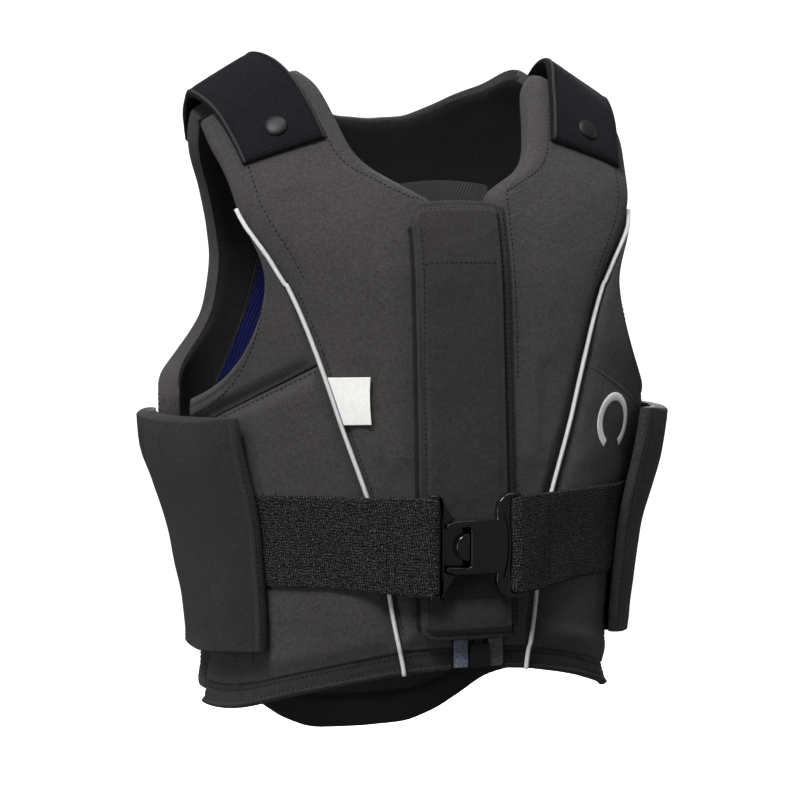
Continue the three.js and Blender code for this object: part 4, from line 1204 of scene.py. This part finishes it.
def pressStud():
    middle, end = np.array(0.5), np.array(stud["fromEnd"] / (shoulder["front"] - frontLine))
    angle, run = shoulderPlace(middle, end)
    lift = float(shoulderTop(middle, end)) + stud["lift"]
    seat, axis = Vector(offBody(angle, run, lift)) * mm, Vector(bodyNormal(angle, run))
    bpy.ops.object.select_all(action="DESELECT")
    bpy.ops.mesh.primitive_cylinder_add(
        vertices=48, radius=stud["radius"] * mm, depth=stud["rim"] * mm, location=seat,
        rotation=axis.to_track_quat("Z", "Y").to_euler())
    made = bpy.context.active_object
    bpy.ops.object.transform_apply(location=True, rotation=True, scale=True)
    bpy.ops.object.mode_set(mode="EDIT")
    bpy.ops.mesh.select_mode(type="FACE")
    bpy.ops.mesh.select_all(action="DESELECT")
    bpy.ops.object.mode_set(mode="OBJECT")
    max(made.data.polygons, key=lambda polygon: polygon.normal.dot(axis)).select = True
    bpy.ops.object.mode_set(mode="EDIT")
    for inwards, rise in domeSteps:
        bpy.ops.mesh.inset(thickness=inwards * mm, depth=rise * mm)
    bpy.ops.object.mode_set(mode="OBJECT")
    twin = made.copy()
    twin.data = made.data.copy()
    scene.collection.objects.link(twin)
    twin.data.transform(Matrix.Diagonal((-1, 1, 1, 1)))
    twin.data.flip_normals()
    finishRigid(made, "snap_cap_left", snapLacquer, "snap_left", 50)
    finishRigid(twin, "snap_cap_right", snapLacquer, "snap_right", 50)


pressStud()


# Hem band: flat, with a rolled lower edge, in the darker copy of the nylon that paints the shade under the
# panels' feet
def hemPlace(plan):
    def place(s, t):
        inside = angleAtX(plan["zipEdge"], down(0.84))
        angle = mix(inside, math.radians(plan["reach"]), s)
        return angle, hemRun(angle) - (hemBandHeight + hemTuck) * t
    return place


def hemLow(s, t, flare):
    waves = 0.5 * np.sin(s * 21) * smooth(s, 0.1, 0.4) * (1 - t)
    return 4 + flare * s ** 3 * mix(1, 0.5, t) + waves


def hemHigh(s, t, flare):
    height = t * (hemBandHeight + hemTuck)
    rolled = 5.8 - 2.6 * (1 - smooth(height, 0, 1.6)) - 1.5 * ridge(height, 4.6, 1.0)
    rolled = rolled - 0.9 * smooth(height, 4.5, 6) - 0.5 * ridge(height, 11.5, 0.8)
    rolled = rolled + 0.25 * np.sin(s * 61) * np.sin(s * 23) * smooth(height, 4, 8)
    return hemLow(s, t, flare) + rolled


for side, plan in sidePlans.items():
    stripPiece(f"hem_band_cloth_{side}", hemPlace(plan), (170, hemBandHeight + hemTuck), 3.2,
               lambda s, t: hemLow(s, t, plan["hemFlare"]), lambda s, t: hemHigh(s, t, plan["hemFlare"]),
               shadedPadCloth, f"hem_band_{side}", plan["mirror"], sides=(0.8, 0.7), growth=1.12)


# Silver piping: a cord in its folded tape, along the princess seam
cord = {
    "offset": 13.9, "wide": 1.5, "deep": 1.55, "ring": 14, "steps": 150, "start": 2.6, "sunk": 1.2, "tuck": 2.2,
}


def piping(side):
    foot = float(hemRun(seamAngle(down(0.86))))
    runs = np.linspace(seamTop + cord["start"], foot, cord["steps"])
    runs = np.minimum(runs, hemRun(seamAngle(runs)))
    overBand = smooth(runs, foot - 18, foot - 13)
    tucked = cord["tuck"] * (1 - smooth(runs, seamTop + 2, seamTop + 16))
    path = offBody(seamAngle(runs), runs, cord["offset"] - cord["sunk"] * overBand - tucked)
    tangent = np.gradient(path, axis=0)
    tangent /= np.linalg.norm(tangent, axis=-1, keepdims=True)
    outwards = bodyNormal(seamAngle(runs), runs)
    beside = np.cross(tangent, outwards)
    ring = cord["ring"]
    points = []
    for k in range(ring):
        a = 2 * pi * k / ring
        points.append(path + beside * cord["wide"] * math.cos(a) + outwards * cord["deep"] * math.sin(a))
    points = np.stack(points, axis=1).reshape(-1, 3)
    faces = []
    for j in range(len(runs) - 1):
        for k in range(ring):
            n = (k + 1) % ring
            faces.append((j * ring + k, j * ring + n, (j + 1) * ring + n, (j + 1) * ring + k))
    faces.append(tuple(range(ring))[::-1])
    faces.append(tuple(range((len(runs) - 1) * ring, len(runs) * ring)))
    lengths = np.repeat(arcs(path, 0) * mm, ring)
    around = np.tile(np.arange(ring) * 0.0006, len(runs))
    if sidePlans[side]["mirror"]:
        points = points * (-1, 1, 1)
    facedOutwards(makePiece(f"piping_cord_{side}", points, faces, silverCord,
                            np.stack([around, lengths], axis=-1), node=f"piping_{side}"))


for side in sidePlans:
    piping(side)


# Lining: blue spacer mesh inside the back, with a plain black facing round it, darkened further as painted
# shade
def liningPlace(s, t):
    level = mix(down(0.88), down(0.25), t)
    fromBack = outline(liningEdge)(level) * (2 * s - 1)
    towardsTail = lowerEdge(backTail)(fromBack) - down(0.92)
    return pi + fromBack, level + towardsTail * 0.8 * np.clip(1 - t / 0.5, 0, None)


lining = stripPiece("back_lining_mesh", liningPlace, (330, 300), 6, -2.5, -1.5, blueMesh,
                    "back_lining")
lining.data.materials.append(facingClothAndShade)
rimPoints = [vertex.co for vertex in lining.data.vertices]
rimLevels = np.array([-p.z for p in rimPoints])
rimSides = np.array([abs(math.atan2(p.x, p.y)) for p in rimPoints])


def liningSide(level):
    return rimSides[np.abs(rimLevels - level) < 0.008].max() - 0.04


for polygon in lining.data.polygons:
    middle = sum((lining.data.vertices[i].co for i in polygon.vertices), Vector()) / len(polygon.vertices)
    side = abs(math.atan2(middle.x, middle.y))
    if -middle.z > 0.385 or -middle.z < 0.128 or side > liningSide(-middle.z):
        polygon.material_index = 1
print("lining done")


# Blank woven tab caught in the seam, its free end curling up a little
label = {"top": 203, "height": 31, "width": 22, "freeX": 61, "fromSeam": 1.6, "thick": 0.7}


def labelPlace(s, t):
    run = label["top"] + label["height"] * (1 - t)
    seam = angleMoved(seamAngle(run), run, -label["fromSeam"])
    free = angleAtX(label["freeX"] + 0.8 * np.sin(t * 3), run)
    return mix(free, seam, s), run


def labelLow(s, t):
    return onPanels + 2.4 * (1 - s) ** 2 - 1.6 * s ** 2 + 0.3 * np.sin(t * 5) * (1 - s)


stripPiece("label_tab_woven", labelPlace, (label["width"], label["height"]), 2, labelLow,
           lambda s, t: labelLow(s, t) + label["thick"], labelCloth, "label_tab",
           mirror=True, sides=(0.4, 0.4))
print("soft strips done")

# Stitches: short twisted threads laid on the finished surfaces, darker than the cloth to paint the shade of the
# needle holes
depsgraph = bpy.context.evaluated_depsgraph_get()
trees = {}


def surfaceTree(name):
    if name not in trees:
        trees[name] = BVHTree.FromObject(surfaces[name], depsgraph)
    return trees[name]


# Where a ray from 30 mm outside meets the nearest of the named pieces
def landOn(point, normal, names):
    start = Vector(point + normal * 30) * mm
    ray = -Vector(normal)
    best = None
    for name in names:
        where, face, index, distance = surfaceTree(name).ray_cast(start, ray, 0.06)
        if where is not None and (best is None or distance < best[2]):
            best = (where, face, distance)
    return best


def seamPath(place, count=240):
    shares = np.linspace(0, 1, count)
    angle, run = place(shares)
    return np.broadcast_to(angle, shares.shape), np.broadcast_to(run, shares.shape)


def stitchRow(store, place, names, mirror=False, pitch=3.3, length=2.3, radius=0.36):
    angle, run = seamPath(place)
    base, normal = bodyPoint(angle, run), bodyNormal(angle, run)
    if mirror:
        base, normal = base * (-1, 1, 1), normal * (-1, 1, 1)
    lengths = arcs(base, 0)
    count = int(lengths[-1] / pitch)
    for k in range(count):
        ends = []
        first = k * pitch + 0.5
        for at in (first, first + length):
            spot = np.array([np.interp(at, lengths, base[:, i]) for i in range(3)])
            out = np.array([np.interp(at, lengths, normal[:, i]) for i in range(3)])
            ends.append(landOn(spot, out / np.linalg.norm(out), names))
        keepStitch(store, ends, radius, 1.6 * length)


def keepStitch(store, ends, radius, longest):
    if ends[0] and ends[1] and (ends[0][0] - ends[1][0]).length < longest * mm:
        store.append((ends[0][0], ends[1][0], (ends[0][1] + ends[1][1]).normalized(), radius * mm))


def sewn(name, store, material):
    rings, sides = [(0.0, 0.35, -0.9), (0.2, 1.0, 0.25), (0.8, 1.0, 0.25), (1.0, 0.35, -0.9)], 6
    points, faces = [], []
    for start, end, out, radius in store:
        first = len(points)
        along = (end - start).normalized()
        beside = along.cross(out).normalized()
        for share, width, lift in rings:
            centre = start.lerp(end, share) + out * (lift * radius)
            for k in range(sides):
                a = 2 * pi * k / sides
                points.append(centre + beside * (radius * width * math.cos(a))
                              + out * (radius * 0.8 * width * math.sin(a)))
        for j in range(len(rings) - 1):
            for k in range(sides):
                n = (k + 1) % sides
                here, ahead = first + j * sides, first + (j + 1) * sides
                faces.append((here + k, ahead + k, ahead + n, here + n))
        faces.append(tuple(first + k for k in range(sides)))
        faces.append(tuple(first + (len(rings) - 1) * sides + k for k in reversed(range(sides))))
    makePiece(name, np.array([tuple(p) for p in points]) / mm, faces, material)
    print(name, len(store), "stitches")


def alongPanel(place, s=None, t=None, trim=(0.02, 0.98)):
    def line(share):
        at = mix(*trim, share)
        return place(*(at if fixed is None else np.full_like(at, fixed) for fixed in (s, t)))
    return line


def shifted(place, acrossMm=0.0, downMm=0.0):
    def line(share):
        angle, run = place(share)
        return angleMoved(angle, run, acrossMm), run + downMm
    return line


# The two tack rows beside a pad, and the rows that hold the elastic's fold
def padTack(gap):
    def line(share):
        run = mix(276, 398, share)
        return angleAtX(116 + gap - 0.03 * (420 - run), run), run
    return line


def foldTack(x):
    def line(share):
        run = mix(284, 341, share)
        return angleAtX(x, run), run
    return line


shellStitches, strapStitches = [], []
for side, plan in sidePlans.items():
    place, mirror = frontCentrePlace(plan["zipEdge"]), plan["mirror"]
    shellRows = [
        ("front_centre_cloth", shifted(alongPanel(place, s=1, trim=(0.04, 0.7)), -4.5)),
        ("front_centre_cloth", shifted(alongPanel(place, s=0, trim=(0.55, 0.93)), 13)),
        ("front_centre_cloth", shifted(alongPanel(place, s=1, trim=(0.72, 0.96)), -13)),
        ("front_side_cloth", shifted(alongPanel(frontSidePlace, t=1), 0, 3.2)),
        ("front_armhole_cloth", shifted(alongPanel(armholePlace, t=1), 0, 12.5)),
        *(("front_side_cloth", padTack(gap)) for gap in (0, 5.5)),
        *(("hem_band_cloth", alongPanel(hemPlace(plan), t=t, trim=(0.01, 0.99))) for t in (0.255, 0.7)),
        ("side_pad_cloth", shifted(alongPanel(padPlace, s=0, trim=(0.03, 0.97)), 0.9)),
        ("side_pad_cloth", alongPanel(padPlace, s=0.86, trim=(0.8, 0.98))),
        ("side_pad_cloth", alongPanel(padPlace, s=0.97, trim=(0.05, 0.95))),
    ]
    for name, line in shellRows:
        stitchRow(shellStitches, line, [f"{name}_{side}"], mirror)
    loop = [f"shoulder_strap_loop_{side}"]
    for s in (0.074, 0.926):
        stitchRow(strapStitches, alongPanel(shoulderPlace, s=s), loop, mirror, pitch=3.0)
    for t in (0.027, 0.973):
        stitchRow(strapStitches, alongPanel(shoulderPlace, t=t, trim=(0.08, 0.92)), loop, mirror, pitch=3.0)
    for row in (13, 17, 21):
        stitchRow(strapStitches, foldTack(strap["bars"][side] + row), [f"waist_strap_elastic_{side}"],
                  mirror, pitch=2.8, length=2.0)
stitchRow(shellStitches, alongPanel(placketPlace, s=0.07, trim=(0.03, 0.97)), ["placket_cloth"])
for t in (0.013, 0.1, 0.905, 0.987):
    stitchRow(shellStitches, alongPanel(placketPlace, t=t, trim=(0.08, 0.93)), ["placket_cloth"])
for x in (28.6, 32.2):
    stitchRow(shellStitches, alongPanel(frontPlace(x, x, 108, 375), s=0.5, trim=(0, 1)),
              ["placket_base_cloth"])
for s in (0.035, 0.965):
    stitchRow(shellStitches, alongPanel(backWhole, s=s, trim=(0.03, 0.97)), ["back_cloth"])
for t in (0.03, 0.97):
    stitchRow(shellStitches, alongPanel(backWhole, t=t, trim=(0.04, 0.96)), ["back_cloth"])
sewn("shell_stitches", shellStitches, blackThreadAndHoleShade)
sewn("strap_stitches", strapStitches, blackThreadAndHoleShade)


# A plain embroidered horseshoe in white satin stitch
horseshoe = {
    "across": 0.735, "run": 237.0, "radii": (11.5, 17.5), "tall": 1.15, "stitches": 150,
    "start": -55, "turn": 290, "thread": 0.42,
}


def embroider():
    store = []
    centreAngle, centreRun = float(angleAcross(horseshoe["across"])), horseshoe["run"]
    for share in np.linspace(0, 1, horseshoe["stitches"]):
        a = math.radians(horseshoe["start"] + horseshoe["turn"] * share)
        ends = []
        for radius in horseshoe["radii"]:
            run = centreRun - radius * math.sin(a) * horseshoe["tall"]
            angle = angleMoved(centreAngle, run, radius * math.cos(a))
            ends.append(landOn(bodyPoint(angle, run), bodyNormal(angle, run),
                               ["front_armhole_cloth_left", "front_side_cloth_left"]))
        keepStitch(store, ends, horseshoe["thread"], 30)
    sewn("horseshoe_embroidery", store, whiteThread)


embroider()

for name in ("zip_teeth", "zip_slider", "zip_box"):
    bpy.data.objects[name].material_slots[0].material = zipNylon

# Studio: a pale round floor that curves up into its wall, soft light from above and the sides
stagePlan = {"floor": -0.82, "flat": 3.2, "bend": 2.2, "wall": 3.0}


def buildStage():
    floor, bend = stagePlan["floor"], stagePlan["bend"]
    turns = np.arange(1, 13) / 12 * pi / 2
    profile = [(stagePlan["flat"] + bend * math.sin(a), bend * (1 - math.cos(a))) for a in turns]
    profile.append((profile[-1][0], bend + stagePlan["wall"]))
    bpy.ops.object.select_all(action="DESELECT")
    bpy.ops.mesh.primitive_circle_add(
        vertices=96, radius=stagePlan["flat"], fill_type="NGON", location=(0, 0, floor))
    made = bpy.context.active_object
    bpy.ops.object.transform_apply(location=True, rotation=True, scale=True)
    bpy.ops.object.mode_set(mode="EDIT")
    bpy.ops.mesh.select_mode(type="EDGE")
    bpy.ops.mesh.select_all(action="SELECT")
    lastRadius, lastHeight = stagePlan["flat"], 0.0
    for radius, height in profile:
        bpy.ops.mesh.extrude_edges_move(TRANSFORM_OT_translate={"value": (0, 0, height - lastHeight)})
        share = radius / lastRadius
        bpy.ops.transform.resize(value=(share, share, 1), center_override=(0, 0, 0))
        lastRadius, lastHeight = radius, height
    bpy.ops.object.mode_set(mode="OBJECT")
    bpy.ops.object.shade_smooth()
    made.name = made.data.name = "studio_floor"
    paper, shader, place, u, v = startMaterial("paper", (0.86, 0.86, 0.86), 0.9)
    grain = noiseOf(place, 3, 2)
    tint(shader, (0.86, 0.86, 0.86), 0.98 + grain * 0.04)
    shader.inputs["Emission Color"].default_value = (1, 1, 1, 1)
    shader.inputs["Emission Strength"].default_value = 0.95
    made.data.materials.append(paper)
    made.visible_diffuse = made.visible_glossy = False


buildStage()

target = Vector((0, 0, -0.225))
view = {
    "azimuth": math.radians(-21), "elevation": math.radians(3.6), "distance": 2.0,
    "lens": 128.6, "shift": -0.00125,
}
eye = target + view["distance"] * Vector((
    math.sin(view["azimuth"]) * math.cos(view["elevation"]),
    -math.cos(view["azimuth"]) * math.cos(view["elevation"]), math.sin(view["elevation"])))
camera = bpy.data.objects.new("camera", bpy.data.cameras.new("camera"))
scene.collection.objects.link(camera)
camera.location = eye
camera.rotation_euler = (target - eye).to_track_quat("-Z", "Y").to_euler()
camera.data.lens = view["lens"]
camera.data.sensor_width = 36
camera.data.shift_x = view["shift"]
scene.camera = camera

lights = [
    {"name": "key", "at": (-1.3, -1.25, 1.75), "size": (0.8, 0.8), "power": 74},
    {"name": "fill", "at": (2.2, -1.6, 0.4), "size": (0.4, 1.8), "power": 2.5},
    {"name": "top", "at": (0.2, -0.4, 1.8), "size": (1.4, 0.5), "power": 17},
    {"name": "rear", "at": (1.2, 2.3, 0.5), "size": (0.9, 1.4), "power": 55},
    {"name": "side", "at": (-2.1, -1.0, -0.3), "size": (0.35, 1.5), "power": 15},
    {"name": "rim", "at": (2.2, 0.6, -0.3), "size": (0.16, 1.4), "power": 4},
]
for row in lights:
    lamp = bpy.data.lights.new(row["name"], "AREA")
    lamp.shape = "RECTANGLE"
    lamp.size, lamp.size_y = row["size"]
    lamp.energy = row["power"]
    made = bpy.data.objects.new(row["name"], lamp)
    made.location = row["at"]
    made.rotation_euler = (target - Vector(row["at"])).to_track_quat("-Z", "Y").to_euler()
    scene.collection.objects.link(made)
world = bpy.data.worlds.new("studio")
world.use_nodes = True
world.node_tree.nodes["Background"].inputs["Color"].default_value = (1, 1, 1, 1)
world.node_tree.nodes["Background"].inputs["Strength"].default_value = 0.17
scene.world = world
scene.view_settings.view_transform = "Standard"
print("studio done")
